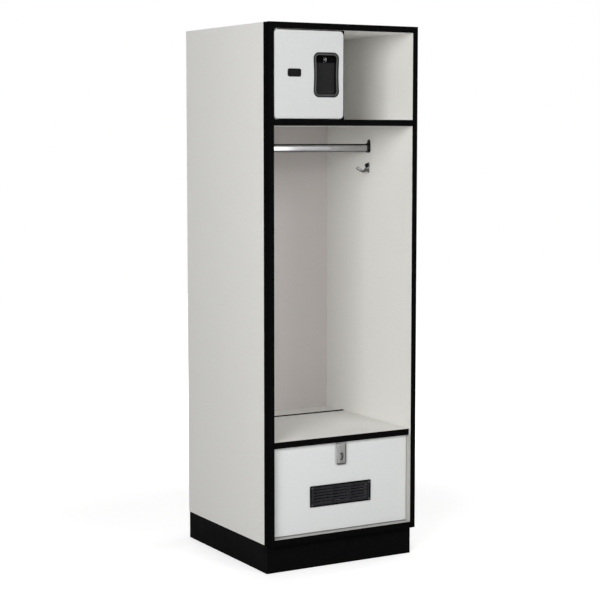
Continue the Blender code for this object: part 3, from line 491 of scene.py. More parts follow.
# Boards whose finish carries painted light or shade for their place in the locker.
LIGHT_AND_SHADE_FINISHES = {
    "hat_shelf": INNER_LAMINATE_LIT,
    "compartment_divider": INNER_LAMINATE_LIT,
    "top_panel": INNER_LAMINATE_LIT,
    "bottom_panel": BOTTOM_BOARD_SHADED,
    "back_panel": BACK_LAMINATE_SHADED,
    "left_side_panel": SIDE_LAMINATE_SHADED,
    "right_side_panel": SIDE_LAMINATE_SHADED,
}
for part in frame["record"]["subparts"]:
    solid = NODES[part["node"]]
    finish = LIGHT_AND_SHADE_FINISHES.get(part["node"], SLOT_FINISHES[part["material_slot"]])
    if solid.material_slots:
        for slot in solid.material_slots:
            slot.material = finish
    else:
        solid.data.materials.append(finish)

# %% [markdown]
# ## Small tools for shaping
#
# The new pieces are made as by hand: add a simple body at its size and place, select some of its faces,
# edges or corners, and shape them. These few tools do the selecting. A part of a mesh is told by its
# lowest and highest corner, which is enough to say "the edges that stand upright" or "the front face".
# Two places closer than TOUCH count as one. HAIR keeps a round corner just short of half a side, and SLACK
# is what a face may reach past a limit and still be picked.

# %% Selecting and settling
TOUCH = 0.00005
HAIR = 0.00001
SLACK = 0.0001


def start():
    """Leaves edit mode and deselects everything, so that an operator acts only on what it should."""
    if bpy.context.object and bpy.context.object.mode != "OBJECT":
        bpy.ops.object.mode_set(mode="OBJECT")
    bpy.ops.object.select_all(action="DESELECT")


def focus(piece):
    start()
    piece.select_set(True)
    bpy.context.view_layer.objects.active = piece


def settle(piece, name):
    """Names a piece and moves its place, turn and size into its mesh."""
    focus(piece)
    piece.name = name
    piece.data.name = name
    bpy.ops.object.transform_apply(location=True, rotation=True, scale=True)
    return piece


def near(value, other):
    return abs(value - other) < TOUCH


def pick(piece, kind, test):
    """Opens a piece in edit mode with only the faces, edges or corners selected that pass a test."""
    focus(piece)
    mesh = piece.data
    groups = {"corners": mesh.vertices, "edges": mesh.edges, "faces": mesh.polygons}
    for group in groups.values():
        group.foreach_set("select", [False] * len(group))
    for part in groups[kind]:
        corners = [part.index] if kind == "corners" else part.vertices
        points = [mesh.vertices[corner].co for corner in corners]
        low = Vector(map(min, zip(*points)))
        high = Vector(map(max, zip(*points)))
        part.select = test(low, high)
    bpy.context.tool_settings.mesh_select_mode = (kind == "corners", kind == "edges", kind == "faces")
    bpy.ops.object.mode_set(mode="EDIT")


def pick_all(piece):
    focus(piece)
    bpy.ops.object.mode_set(mode="EDIT")
    bpy.ops.mesh.select_all(action="SELECT")


# %% Bodies to start from
def board(name, low, high):
    """A box from its lowest to its highest corner."""
    start()
    low = Vector(low)
    high = Vector(high)
    bpy.ops.mesh.primitive_cube_add(size=1, location=(low + high) / 2)
    bpy.context.object.scale = high - low
    return settle(bpy.context.object, name)


TURNS = {"Y": (math.pi / 2, 0, 0), "X": (math.pi / 2, 0, math.pi / 2)}
WAYS = {"Y": Vector((0, 1, 0)), "X": Vector((1, 0, 0))}


def rounded_sheet(name, middle, width, height, radius, steps, axis="Y"):
    """A flat face with round corners, at right angles to an axis."""
    start()
    bpy.ops.mesh.primitive_plane_add(size=1, location=middle, rotation=TURNS[axis])
    bpy.context.object.scale = (width, height, 1)
    sheet = settle(bpy.context.object, name)
    pick_all(sheet)
    bpy.ops.mesh.bevel(affect="VERTICES", offset=radius, segments=steps)
    start()
    return sheet


def thicken(piece, depth, axis="Y"):
    """Draws a flat face out into a solid plate."""
    pick_all(piece)
    bpy.ops.mesh.extrude_region_move(TRANSFORM_OT_translate={"value": WAYS[axis] * depth})
    bpy.ops.mesh.select_all(action="SELECT")
    bpy.ops.mesh.remove_doubles(threshold=HAIR)
    bpy.ops.mesh.normals_make_consistent(inside=False)
    start()
    return piece


def slab(name, middle, width, height, depth, radius, steps=8, axis="Y"):
    """A plate with round corners whose middle is given, as thick along the axis as depth says."""
    near_face = Vector(middle) - WAYS[axis] * depth / 2
    return thicken(rounded_sheet(name, near_face, width, height, radius, steps, axis), depth, axis)


def rod_body(name, start_point, end_point, radius, steps=32):
    """A round bar between two points."""
    start()
    first = Vector(start_point)
    last = Vector(end_point)
    turn = (last - first).to_track_quat("Z", "Y").to_euler()
    bpy.ops.mesh.primitive_cylinder_add(
        vertices=steps, radius=radius, depth=(last - first).length, location=(first + last) / 2, rotation=turn
    )
    return settle(bpy.context.object, name)


# %% Applying modifiers
def apply(piece, kind, **settings):
    """Adds a modifier, sets it up and applies it."""
    focus(piece)
    modifier = piece.modifiers.new(kind.title(), kind)
    for setting, value in settings.items():
        setattr(modifier, setting, value)
    bpy.ops.object.modifier_apply(modifier=modifier.name)


def carve(piece, cutter):
    """Cuts one body out of another and throws the cutter away."""
    apply(piece, "BOOLEAN", operation="DIFFERENCE", solver="EXACT", object=cutter)
    bpy.data.objects.remove(cutter, do_unlink=True)


def ease(piece, width, segments=3, angle=35):
    """Rounds a piece's real edges a little and keeps its flat faces flat."""
    focus(piece)
    bpy.ops.object.shade_smooth()
    apply(
        piece,
        "BEVEL",
        width=width,
        segments=segments,
        limit_method="ANGLE",
        angle_limit=math.radians(angle),
        harden_normals=True,
        use_clamp_overlap=False,
    )


def smooth(piece, angle=35):
    focus(piece)
    bpy.ops.object.shade_smooth_by_angle(angle=math.radians(angle))


# %% Finding a place and handing over
def place_of(node):
    """The lowest corner, the highest corner and the middle of a solid."""
    low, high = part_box(node)
    low = Vector(low)
    high = Vector(high)
    return low, high, (low + high) / 2


def hand_over(piece, finish, *nodes):
    """Gives a piece its finish, and lets it stand for its solids and move with their body."""
    start()
    piece.data.materials.clear()
    piece.data.materials.append(finish)
    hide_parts(*nodes)
    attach(piece, NODES[nodes[0]]["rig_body"])
    print("made:", piece.name, "faces:", len(piece.data.polygons))
    return piece


# %% [markdown]
# ## The compartment door
#
# The small door is one board with round corners and softly rounded edges. It could be cut out as one
# outline, but a plate with bevelled corners shows better how such a door is made: sawn, rounded at the
# corners, and then opened for the handle cup. The cup's outline comes first, because the door and the cup
# share it. FIT is the play between pieces that meet.

# %% The cup's outline, drawn in at the sides
CUP_LOW, CUP_HIGH, CUP_MIDDLE = place_of("handle_cup")
CUP_CORNER = 0.022
CUP_CORNER_STEPS = 10
CUP_SIDE_CUTS = 15
CUP_WAIST = 0.0024


def cup_sheet(name, front):
    """The cup's outline as a flat face: large round corners, and sides that are drawn in a little."""
    width = CUP_HIGH.x - CUP_LOW.x
    height = CUP_HIGH.z - CUP_LOW.z
    middle = (CUP_MIDDLE.x, front, CUP_MIDDLE.z)
    sheet = rounded_sheet(name, middle, width, height, CUP_CORNER, CUP_CORNER_STEPS)
    pick(sheet, "edges", lambda low, high: high.z - low.z > height / 2)
    bpy.ops.mesh.subdivide(number_cuts=CUP_SIDE_CUTS)
    for side, edge in ((1, CUP_LOW.x), (-1, CUP_HIGH.x)):
        pick(sheet, "corners", lambda low, high: near(low.x, edge) and near(low.z, CUP_MIDDLE.z))
        bpy.ops.transform.translate(
            value=(side * CUP_WAIST, 0, 0),
            use_proportional_edit=True,
            proportional_edit_falloff="SMOOTH",
            proportional_size=height / 2,
        )
    start()
    return sheet


# %% Saw the door and open it for the cup
DOOR_LOW, DOOR_HIGH, DOOR_MIDDLE = place_of("compartment_door")
DOOR_THICK = DOOR_HIGH.y - DOOR_LOW.y
DOOR_CORNER = 0.015
PANEL_EASE = 0.003
CUP_SEAT = 0.0067
CUT_REACH = 0.004
FIT = 0.0003

door = slab(
    "small_door",
    DOOR_MIDDLE,
    DOOR_HIGH.x - DOOR_LOW.x,
    DOOR_HIGH.z - DOOR_LOW.z,
    DOOR_THICK,
    DOOR_CORNER,
)
ease(door, PANEL_EASE, 4)
opening = cup_sheet("opening", DOOR_LOW.y - CUT_REACH)
pick_all(opening)
bpy.ops.mesh.inset(thickness=CUP_SEAT)
bpy.ops.mesh.select_all(action="INVERT")
bpy.ops.mesh.delete(type="FACE")
thicken(opening, DOOR_THICK + 2 * CUT_REACH)
carve(door, opening)
for bush in ("upper_pivot_bush", "lower_pivot_bush"):
    low, high, middle = place_of(bush)
    foot = (middle.x, middle.y, low.z - FIT)
    top = (middle.x, middle.y, high.z + FIT)
    carve(door, rod_body("bore", foot, top, (high.x - low.x) / 2 + FIT))
hand_over(door, DOOR_FOIL_SHADED, "compartment_door")

# %% [markdown]
# ## The handle cup
#
# The door is pulled by a moulded cup that is let into it. Its rim lies on the door, a raised bead runs
# round inside the rim, and the pocket behind it narrows a little towards its floor, so that the moulding
# leaves its mould. Such a form is a row of outlines, each a little smaller and higher or deeper than the
# one before, so the face is inset again and again with a depth. Solidify then gives the skin a wall.
#
# The rim is a greyer black and the bead a paler grey, painted as a highlight, and each gets a finish of
# its own. The pocket's upper part, behind the padlock eye, is painted blacker as the shade under the rim.
# A bisect gives that part a straight lower edge.

# %% Give some faces another finish
def second_finish(piece, finish, test):
    """Gives some faces of a piece another finish."""
    piece.data.materials.append(finish)
    pick(piece, "faces", test)
    piece.active_material_index = len(piece.data.materials) - 1
    bpy.ops.object.material_slot_assign()
    start()
    print("finish:", finish.name, "on", piece.name)


# %% Press the cup from one face
# Each step: how far inwards, and how far outwards, away from the door.
CUP_STEPS = (
    (0.0003, 0.0006),
    (0.0007, 0.0004),
    (0.0050, 0.0),
    (0.0004, 0.0003),
    (0.0006, 0.0005),
    (0.0010, 0.0002),
    (0.0008, -0.0002),
    (0.0007, -0.0006),
    (0.0005, -0.0012),
    (0.0004, -0.0030),
    (0.0012, -0.0094),
    (0.0006, -0.0016),
    (0.0012, -0.0011),
    (0.0020, -0.0004),
)
CUP_WALL = 0.0015

cup = cup_sheet("handle_cup_moulding", DOOR_LOW.y - FIT)
pick_all(cup)
for inward, outward in CUP_STEPS:
    bpy.ops.mesh.inset(thickness=inward, depth=outward, use_even_offset=True)
start()
apply(cup, "SOLIDIFY", thickness=CUP_WALL, offset=-1, use_even_offset=True)
print("cup skin:", len(cup.data.polygons), "faces")

# %% Slot it for the padlock eye
EYE_LOW, EYE_HIGH, EYE_MIDDLE = place_of("padlock_eye")
EYE_THICK = 0.003
SLOT_GAP = 0.002
SLOT_REACH = 0.006
TAB_HALF = 0.008
CUP_SHADE_DROP = 0.011
RIM_RISE = 0.001

slot = board(
    "slot",
    (EYE_LOW.x - SLOT_GAP, CUP_HIGH.y - SLOT_REACH, EYE_MIDDLE.z - TAB_HALF - SLOT_GAP),
    (EYE_LOW.x + EYE_THICK + SLOT_GAP, CUP_HIGH.y + SLOT_REACH, EYE_MIDDLE.z + TAB_HALF + SLOT_GAP),
)
carve(cup, slot)
cup_shade_low = EYE_MIDDLE.z - CUP_SHADE_DROP
pick_all(cup)
bpy.ops.mesh.bisect(plane_co=(0, 0, cup_shade_low), plane_no=(0, 0, 1))
smooth(cup, 50)
hand_over(cup, BLACK_PLASTIC, "handle_cup")
rim_face = DOOR_LOW.y - FIT - RIM_RISE
# Painted shadow: the pocket's upper part, above the bisect, is blacker as the shade under the rim.
second_finish(cup, BLACK_EDGE, lambda low, high: low.z > cup_shade_low - SLACK and low.y > DOOR_LOW.y)
# The rim's faces, proud of the door, take a greyer black.
second_finish(cup, RIM_GREY, lambda low, high: high.y < DOOR_LOW.y - 2 * SLACK)
# Painted highlight: the bead is a paler grey.
second_finish(cup, BEAD_HIGHLIGHT_GREY, lambda low, high: low.y < rim_face - TOUCH)

# %% [markdown]
# ## The padlock eye
#
# A padlock goes through a flat steel tab with a hole, which passes through a slot in the cup. The tab is
# one end of a bent bracket on the divider. Its tip is rounded by a bevel on its two front edges. The
# tab's flat sides are painted dark, as the shade in the cup's slot, and its narrow edge is left bright.

# %% Join two bodies
def weld(piece, other):
    """Joins two bodies into one."""
    apply(piece, "BOOLEAN", operation="UNION", solver="EXACT", object=other)
    bpy.data.objects.remove(other, do_unlink=True)


# %% Bend the bracket and round its tip
EYE_FLANGE = EYE_HIGH.x - EYE_THICK
TAB_ROUND = 0.0072
TAB_EASE = 0.0004
HOLE_RADIUS = 0.0045
WEB_GAP = 0.002

web_front = DOOR_HIGH.y + WEB_GAP
eye = board(
    "padlock_tab",
    (EYE_LOW.x, EYE_LOW.y, EYE_MIDDLE.z - TAB_HALF),
    (EYE_LOW.x + EYE_THICK, web_front + EYE_THICK, EYE_MIDDLE.z + TAB_HALF),
)
pick(eye, "edges", lambda low, high: near(high.y, EYE_LOW.y) and near(low.z, high.z))
bpy.ops.mesh.bevel(offset=TAB_ROUND, segments=8, affect="EDGES", clamp_overlap=False)
start()
web = board(
    "web", (EYE_LOW.x + EYE_THICK / 2, web_front, EYE_LOW.z), (EYE_HIGH.x, web_front + EYE_THICK, EYE_HIGH.z)
)
weld(eye, web)
flange = board(
    "flange", (EYE_FLANGE, web_front + EYE_THICK / 2, EYE_LOW.z), (EYE_HIGH.x, EYE_HIGH.y, EYE_HIGH.z)
)
weld(eye, flange)
hole_y = EYE_LOW.y + 2 * HOLE_RADIUS
hole = rod_body(
    "hole",
    (EYE_LOW.x - CUT_REACH, hole_y, EYE_MIDDLE.z),
    (EYE_LOW.x + EYE_THICK + CUT_REACH, hole_y, EYE_MIDDLE.z),
    HOLE_RADIUS,
)
carve(eye, hole)
ease(eye, TAB_EASE, 2, 40)
hand_over(eye, STEEL, "padlock_eye")
# Painted shade: the tab's flat sides take dark steel.
second_finish(eye, DARK_STEEL, lambda low, high: near(low.x, high.x))

# %% [markdown]
# ## The number plate
#
# The plate is a small black plastic tile with round corners. Its field lies a little lower than its rim,
# and is left blank.

# %% Mould the number plate
PLATE_LOW, PLATE_HIGH, PLATE_MIDDLE = place_of("number_plate")
PLATE_CORNER = 0.007
PLATE_EASE = 0.0005
PLATE_RIM = 0.0012
FIELD_DROP = 0.0003

plate = slab(
    "blank_number_plate",
    PLATE_MIDDLE,
    PLATE_HIGH.x - PLATE_LOW.x,
    PLATE_HIGH.z - PLATE_LOW.z,
    PLATE_HIGH.y - PLATE_LOW.y,
    PLATE_CORNER,
)
ease(plate, PLATE_EASE, 2)
pick(plate, "faces", lambda low, high: near(low.y, PLATE_LOW.y) and near(high.y, PLATE_LOW.y))
bpy.ops.mesh.inset(thickness=PLATE_RIM, depth=0)
bpy.ops.mesh.inset(thickness=FIELD_DROP, depth=-FIELD_DROP)
start()
hand_over(plate, PLATE_BLACK, "number_plate")

# %% [markdown]
# ## The hanging rod and its sockets
#
# The rod is an oval chromed tube with a black strip along its top, which is painted reflection: it stands
# for the dark line that the top of a chromed tube mirrors. Each end sits in a dark socket that is screwed
# to the side panel: an oval back plate with a tab for the screw, and a collar round the tube. The oval is
# a plate whose corner radius is half its width, drawn out over the whole length. The tube's underside is
# painted a darker nickel, as the shade under the rod.

# %% Draw the tube
ROD_LOW, ROD_HIGH, ROD_MIDDLE = place_of("hanging_rod")
ROD_WIDTH = ROD_HIGH.y - ROD_LOW.y
ROD_HEIGHT = ROD_HIGH.z - ROD_LOW.z
ROD_WALL = 0.0012
STRIP_RISE = 0.0028
STRIP_FOOT = 0.0024
STRIP_HALF = 0.0048
SHADED_UNDERSIDE = 0.0036
OVAL_STEPS = 20


def oval_bar(name, first_x, last_x, width, height, drop=0.0):
    """An upright oval with its middle on the rod's line or below it, from one X to another."""
    middle = ((first_x + last_x) / 2, ROD_MIDDLE.y, ROD_MIDDLE.z - drop)
    return slab(name, middle, width, height, abs(last_x - first_x), width / 2 - HAIR, OVAL_STEPS, "X")


tube_height = ROD_HEIGHT - STRIP_RISE
tube_top = ROD_HIGH.z - STRIP_RISE
rod = oval_bar("oval_rod", ROD_LOW.x, ROD_HIGH.x, ROD_WIDTH, tube_height, STRIP_RISE / 2)
hollow = oval_bar(
    "hollow",
    ROD_LOW.x - CUT_REACH,
    ROD_HIGH.x + CUT_REACH,
    ROD_WIDTH - 2 * ROD_WALL,
    tube_height - 2 * ROD_WALL,
    STRIP_RISE / 2,
)
carve(rod, hollow)
# Painted reflection: a black strip on the tube's top stands for its dark reflection.
dark_reflection_strip = board(
    "dark_reflection_strip",
    (ROD_LOW.x, ROD_MIDDLE.y - STRIP_HALF, tube_top - STRIP_FOOT),
    (ROD_HIGH.x, ROD_MIDDLE.y + STRIP_HALF, ROD_HIGH.z),
)
weld(rod, dark_reflection_strip)
smooth(rod)
hand_over(rod, CHROME, "hanging_rod")
# Painted reflection: the strip on the top is black.
second_finish(rod, BLACK_PLASTIC, lambda low, high: high.z > tube_top + 2 * SLACK)
# Painted shade: the tube's underside takes a darker nickel.
second_finish(rod, UNDERSIDE_SHADE_NICKEL, lambda low, high: high.z < ROD_LOW.z + SHADED_UNDERSIDE)

# %% Build a socket and its twin
SOCKET_FLOOR = 0.0025
SOCKET_WALL = 0.002
SOCKET_EASE = 0.0005
TAB_WIDTH = 0.020
TAB_STEPS = 12

for side, node in ((-1, "left_rod_socket"), (1, "right_rod_socket")):
    low, high, middle = place_of(node)
    wall = high.x if side > 0 else low.x
    inner = low.x if side > 0 else high.x
    floor_face = wall - side * SOCKET_FLOOR
    name = node.replace("rod_socket", "rod_end_socket")
    socket = oval_bar(name, wall, floor_face, high.y - low.y, 2 * (ROD_MIDDLE.z - low.z))
    tab = slab(
        "tab",
        ((wall + floor_face) / 2, ROD_MIDDLE.y, (ROD_MIDDLE.z + high.z) / 2),
        TAB_WIDTH,
        high.z - ROD_MIDDLE.z,
        SOCKET_FLOOR,
        TAB_WIDTH / 2 - HAIR,
        TAB_STEPS,
        "X",
    )
    weld(socket, tab)
    back = wall - side * SOCKET_FLOOR / 2
    outer = ROD_WIDTH + 2 * (FIT + SOCKET_WALL)
    weld(socket, oval_bar("collar", back, inner, outer, outer + ROD_HEIGHT - ROD_WIDTH))
    front = inner - side * CUT_REACH
    carve(socket, oval_bar("bore", floor_face, front, ROD_WIDTH + 2 * FIT, ROD_HEIGHT + 2 * FIT))
    ease(socket, SOCKET_EASE, 2, 50)
    hand_over(socket, DARK_STEEL, node)

# %% [markdown]
# ## The coat hook
#
# The hook is cast in one: an oval base on the wall, a ball on a short stem, a long prong that dips and
# rises again to a thick tip, and a thin neck from the ball down to the prong. Knob, prong and neck all
# start as a small round face. It is drawn out step by step, and made wider or narrower at each step. The
# cast metal is dull. The ball is painted darker, as its shade and dark reflection, and the base and the
# outer flank of the prong are painted brighter, as highlights.

# %% Grow a form out of a round face
def grow(name, route, radii, steps=24):
    """A closed bar through the points of a route in one upright plane along X, with a radius at each."""
    route = [Vector(point) for point in route]
    headings = []
    for index in range(len(route)):
        before = route[max(index - 1, 0)]
        after = route[min(index + 1, len(route) - 1)]
        step = after - before
        headings.append(math.atan2(step.z, step.x))
    start()
    bpy.ops.mesh.primitive_circle_add(
        vertices=steps,
        radius=radii[0],
        fill_type="NGON",
        location=route[0],
        rotation=(0, math.pi / 2 - headings[0], 0),
    )
    bar = settle(bpy.context.object, name)
    bpy.context.tool_settings.mesh_select_mode = (False, False, True)
    pick_all(bar)
    for index in range(1, len(route)):
        bpy.ops.mesh.extrude_region_move(TRANSFORM_OT_translate={"value": route[index] - route[index - 1]})
        bpy.ops.transform.rotate(
            value=headings[index] - headings[index - 1], orient_axis="Y", center_override=route[index]
        )
        factor = radii[index] / radii[index - 1]
        bpy.ops.transform.resize(value=(factor, factor, factor), center_override=route[index])
    start()
    pick(bar, "edges", lambda low, high: False)
    bpy.ops.mesh.select_non_manifold()
    bpy.ops.mesh.edge_face_add()
    bpy.ops.mesh.select_all(action="SELECT")
    bpy.ops.mesh.normals_make_consistent(inside=False)
    start()
    return bar


# %% Cast the hook
HOOK_LOW, HOOK_HIGH, HOOK_MIDDLE = place_of("coat_hook")
HOOK_WALL = HOOK_HIGH.x
HOOK_BASE = 0.0025
HOOK_Y = HOOK_MIDDLE.y
HOOK_HEIGHT = 0.040
HOOK_Z = HOOK_HIGH.z - HOOK_HEIGHT / 2
HOOK_WIDTH = HOOK_HIGH.y - HOOK_LOW.y
HOOK_EASE = 0.0006
BASE_STEPS = 16
BALL_RADIUS = 0.0082
BALL_REACH = 0.0092
BALL_RISE = 0.0084
BALL_STEPS = 16
STEM_RADIUS = 0.0034

ball_x = HOOK_WALL - BALL_REACH
ball_z = HOOK_Z + BALL_RISE
hook = slab(
    "ball_hook",
    (HOOK_WALL - HOOK_BASE / 2, HOOK_Y, HOOK_Z),
    HOOK_WIDTH,
    HOOK_HEIGHT,
    HOOK_BASE,
    HOOK_WIDTH / 2 - HAIR,
    BASE_STEPS,
    "X",
)
knob_route = [(HOOK_WALL - HOOK_BASE / 2, HOOK_Y, ball_z)]
knob_radii = [STEM_RADIUS]
for step in range(2, BALL_STEPS):
    angle = math.pi * step / BALL_STEPS
    knob_route.append((ball_x + BALL_RADIUS * math.cos(angle), HOOK_Y, ball_z))
    knob_radii.append(BALL_RADIUS * math.sin(angle))
weld(hook, grow("knob", knob_route, knob_radii))
print("knob:", len(knob_route), "steps")

# %% Add the prong and the neck
# Each point: how far out from the wall, how far up from the base's middle, and the radius there.
PRONG = (
    (0.0012, -0.0078, 0.0042),
    (0.0060, -0.0088, 0.0042),
    (0.0110, -0.0106, 0.0041),
    (0.0160, -0.0128, 0.0040),
    (0.0210, -0.0146, 0.0039),
    (0.0265, -0.0151, 0.0039),
    (0.0315, -0.0135, 0.0042),
    (0.0365, -0.0106, 0.0046),
    (0.0415, -0.0076, 0.0050),
    (0.0460, -0.0048, 0.0053),
    (0.0500, -0.0022, 0.0055),
    (0.0520, -0.0009, 0.0053),
    (0.0530, -0.0002, 0.0044),
)
HOOK_NECK = (
    (0.0098, 0.0040, 0.0036),
    (0.0124, -0.0006, 0.0033),
    (0.0160, -0.0054, 0.0031),
    (0.0205, -0.0100, 0.0030),
    (0.0250, -0.0134, 0.0028),
)
for name, points in (("prong", PRONG), ("hook_neck", HOOK_NECK)):
    route = [(HOOK_WALL - out, HOOK_Y, HOOK_Z + up) for out, up, radius in points]
    weld(hook, grow(name, route, [radius for out, up, radius in points]))
ease(hook, HOOK_EASE, 3, 50)
hand_over(hook, DULL_STEEL, "coat_hook")

# %% Paint shade on the ball and highlights on the base and the prong
BALL_SHADE_FROM = HOOK_Z - 0.002
BALL_SHADE_REACH = 0.001
HIGHLIGHT_FLANK = 0.0040
HIGHLIGHT_FROM = 0.034

base_face = HOOK_WALL - HOOK_BASE
# Painted shade and dark reflection: the ball takes dark steel.
second_finish(
    hook,
    DARK_STEEL,
    lambda low, high: low.z > BALL_SHADE_FROM
    and low.x > ball_x - BALL_RADIUS - BALL_SHADE_REACH
    and high.x < base_face - SLACK,
)
# Painted highlight: the base takes bright zinc.
second_finish(hook, BRIGHT_ZINC, lambda low, high: low.x > base_face - SLACK)
# Painted highlight: the prong's outer flank takes bright zinc.
second_finish(
    hook,
    BRIGHT_ZINC,
    lambda low, high: high.y < HOOK_Y - HIGHLIGHT_FLANK and high.x < HOOK_WALL - HIGHLIGHT_FROM,
)

# %% [markdown]
# ## Screws
#
# All screws are alike: a low domed head with a cross cut into it, and a plain shank. One is modelled
# upright and then copied to each place, turned the way that the solid there points. The hook's two
# screws are darker.

# %% Turn one screw
HEAD_RADIUS = 0.003
HEAD_HEIGHT = 0.0016
HEAD_ROUND = 0.0012
SHANK_RADIUS = 0.0014
SHANK_LENGTH = 0.013
CROSS_WIDTH = 0.0008
CROSS_LENGTH = 0.0036
CROSS_DEPTH = 0.0008

screw_master = rod_body("screw", (0, 0, 0), (0, 0, HEAD_HEIGHT), HEAD_RADIUS, 32)
pick(screw_master, "edges", lambda low, high: near(low.z, HEAD_HEIGHT) and near(high.z, HEAD_HEIGHT))
bpy.ops.mesh.bevel(offset=HEAD_ROUND, segments=5, affect="EDGES", clamp_overlap=False)
start()
shank = rod_body("shank", (0, 0, -SHANK_LENGTH), (0, 0, HEAD_HEIGHT / 2), SHANK_RADIUS, 20)
weld(screw_master, shank)
for across, along in ((CROSS_WIDTH, CROSS_LENGTH), (CROSS_LENGTH, CROSS_WIDTH)):
    bar = board(
        "cross",
        (-across / 2, -along / 2, HEAD_HEIGHT - CROSS_DEPTH),
        (across / 2, along / 2, HEAD_HEIGHT + CROSS_DEPTH),
    )
    carve(screw_master, bar)
smooth(screw_master, 40)
print("screw:", len(screw_master.data.polygons), "faces")


# %% Copy a piece
def twin(master, name, place, turn=(0, 0, 0)):
    """A copy of a piece with its own mesh, at a place and with a turn."""
    copy = bpy.data.objects.new(name, master.data.copy())
    bpy.context.scene.collection.objects.link(copy)
    copy.location = place
    copy.rotation_euler = turn
    return settle(copy, name)


# %% Set the screws
SCREWS = {
    "grille_screw_upper_left": "-Y",
    "grille_screw_upper_right": "-Y",
    "grille_screw_lower_left": "-Y",
    "grille_screw_lower_right": "-Y",
    "left_socket_screw": "X",
    "right_socket_screw": "-X",
    "upper_hook_screw": "-X",
    "lower_hook_screw": "-X",
}
SCREW_TURNS = {"-Y": (math.pi / 2, 0, 0), "X": (0, math.pi / 2, 0), "-X": (0, -math.pi / 2, 0)}

for node, way in SCREWS.items():
    low, high, place = place_of(node)
    if way == "-Y":
        place.y = low.y + HEAD_HEIGHT
    else:
        place.x = high.x - HEAD_HEIGHT if way == "X" else low.x + HEAD_HEIGHT
    screw = twin(screw_master, node.replace("screw", "cross_screw"), place, SCREW_TURNS[way])
    hand_over(screw, DARK_STEEL if "hook" in node else DULL_STEEL, node)
bpy.data.objects.remove(screw_master, do_unlink=True)

# %% [markdown]
# ## The seat
#
# The seat is a board with a black strip along its front. The laminate is rolled a little over the board's
# front edge, which shows as a bright line above the strip.

# %% Round the seat board
LID_LOW, LID_HIGH, _ = place_of("seat_lid")
LID_ROUND = 0.0022

lid = board("seat_board", LID_LOW, LID_HIGH)
pick(lid, "edges", lambda low, high: near(low.z, LID_HIGH.z) and near(high.y, LID_LOW.y))
bpy.ops.mesh.bevel(offset=LID_ROUND, segments=6, affect="EDGES", clamp_overlap=False)
start()
smooth(lid, 40)
hand_over(lid, LAMINATE, "seat_lid")

# %% [markdown]
# ## The chest front
#
# The fixed panel below the seat has softly rounded edges all round, like the door. Behind the vent it is
# cut open.

# %% Saw the chest front and open it behind the vent
CHEST_LOW, CHEST_HIGH, _ = place_of("chest_front_panel")
GRILLE_LOW, GRILLE_HIGH, GRILLE_MIDDLE = place_of("vent_grille")
VENT_LEDGE = 0.012

chest_front = board("chest_front_board", CHEST_LOW, CHEST_HIGH)
ease(chest_front, PANEL_EASE, 4)
vent = board(
    "vent",
    (GRILLE_LOW.x + VENT_LEDGE, CHEST_LOW.y - CUT_REACH, GRILLE_LOW.z + VENT_LEDGE),
    (GRILLE_HIGH.x - VENT_LEDGE, CHEST_HIGH.y + CUT_REACH, GRILLE_HIGH.z - VENT_LEDGE),
)
carve(chest_front, vent)
hand_over(chest_front, CHEST_FOIL_LIT, "chest_front_panel")

# %% [markdown]
# ## The vent grille
#
# The grille is a moulded plate with a raised border and three columns of slots. A sloping blade with a
# rounded front edge stands in each slot, so air gets through and a look inside doesn't. One blade is
# shaped, and copied to all of its places. The border is blacker than the blades and the bars between
# them.

# %% Mould the grille's frame
GRILLE_THICK = GRILLE_HIGH.y - GRILLE_LOW.y
GRILLE_COLUMNS = 3
GRILLE_ROWS = 6
SIDE_RIM = 0.016
TOP_RIM = 0.0068
COLUMN_BAR = 0.010
ROW_PITCH = 0.0105
BLADE_HEIGHT = 0.0074
BORDER = 0.0045
BORDER_STEP = 0.0011
GRILLE_CORNER = 0.003
FIELD_CORNER = 0.0015
GRILLE_EASE = 0.0004

grille_width = GRILLE_HIGH.x - GRILLE_LOW.x
grille_height = GRILLE_HIGH.z - GRILLE_LOW.z
grille = slab("louvred_vent", GRILLE_MIDDLE, grille_width, grille_height, GRILLE_THICK, GRILLE_CORNER, 5)
field = slab(
    "field",
    (GRILLE_MIDDLE.x, GRILLE_LOW.y, GRILLE_MIDDLE.z),
    grille_width - 2 * BORDER,
    grille_height - 2 * BORDER,
    2 * BORDER_STEP,
    FIELD_CORNER,
    4,
)
carve(grille, field)
column_pitch = (grille_width - 2 * SIDE_RIM + COLUMN_BAR) / GRILLE_COLUMNS
slot_width = column_pitch - COLUMN_BAR
slots_top = GRILLE_HIGH.z - TOP_RIM
slots_bottom = slots_top - (GRILLE_ROWS - 1) * ROW_PITCH - BLADE_HEIGHT
columns = []
for column in range(GRILLE_COLUMNS):
    columns.append(GRILLE_MIDDLE.x + (column - (GRILLE_COLUMNS - 1) / 2) * column_pitch)
for middle_x in columns:
    window = board(
        "window",
        (middle_x - slot_width / 2, GRILLE_LOW.y - CUT_REACH, slots_bottom),
        (middle_x + slot_width / 2, GRILLE_HIGH.y + CUT_REACH, slots_top),
    )
    carve(grille, window)
ease(grille, GRILLE_EASE, 2, 40)
print("grille slots:", round(slot_width * 1000, 1), "x", round((slots_top - slots_bottom) * 1000, 1), "mm")

# %% Set the blades
BLADE_THICK = 0.0012
BLADE_SLOPE = math.radians(17)
BLADE_BACK = 0.0019
BLADE_REACH = 0.001

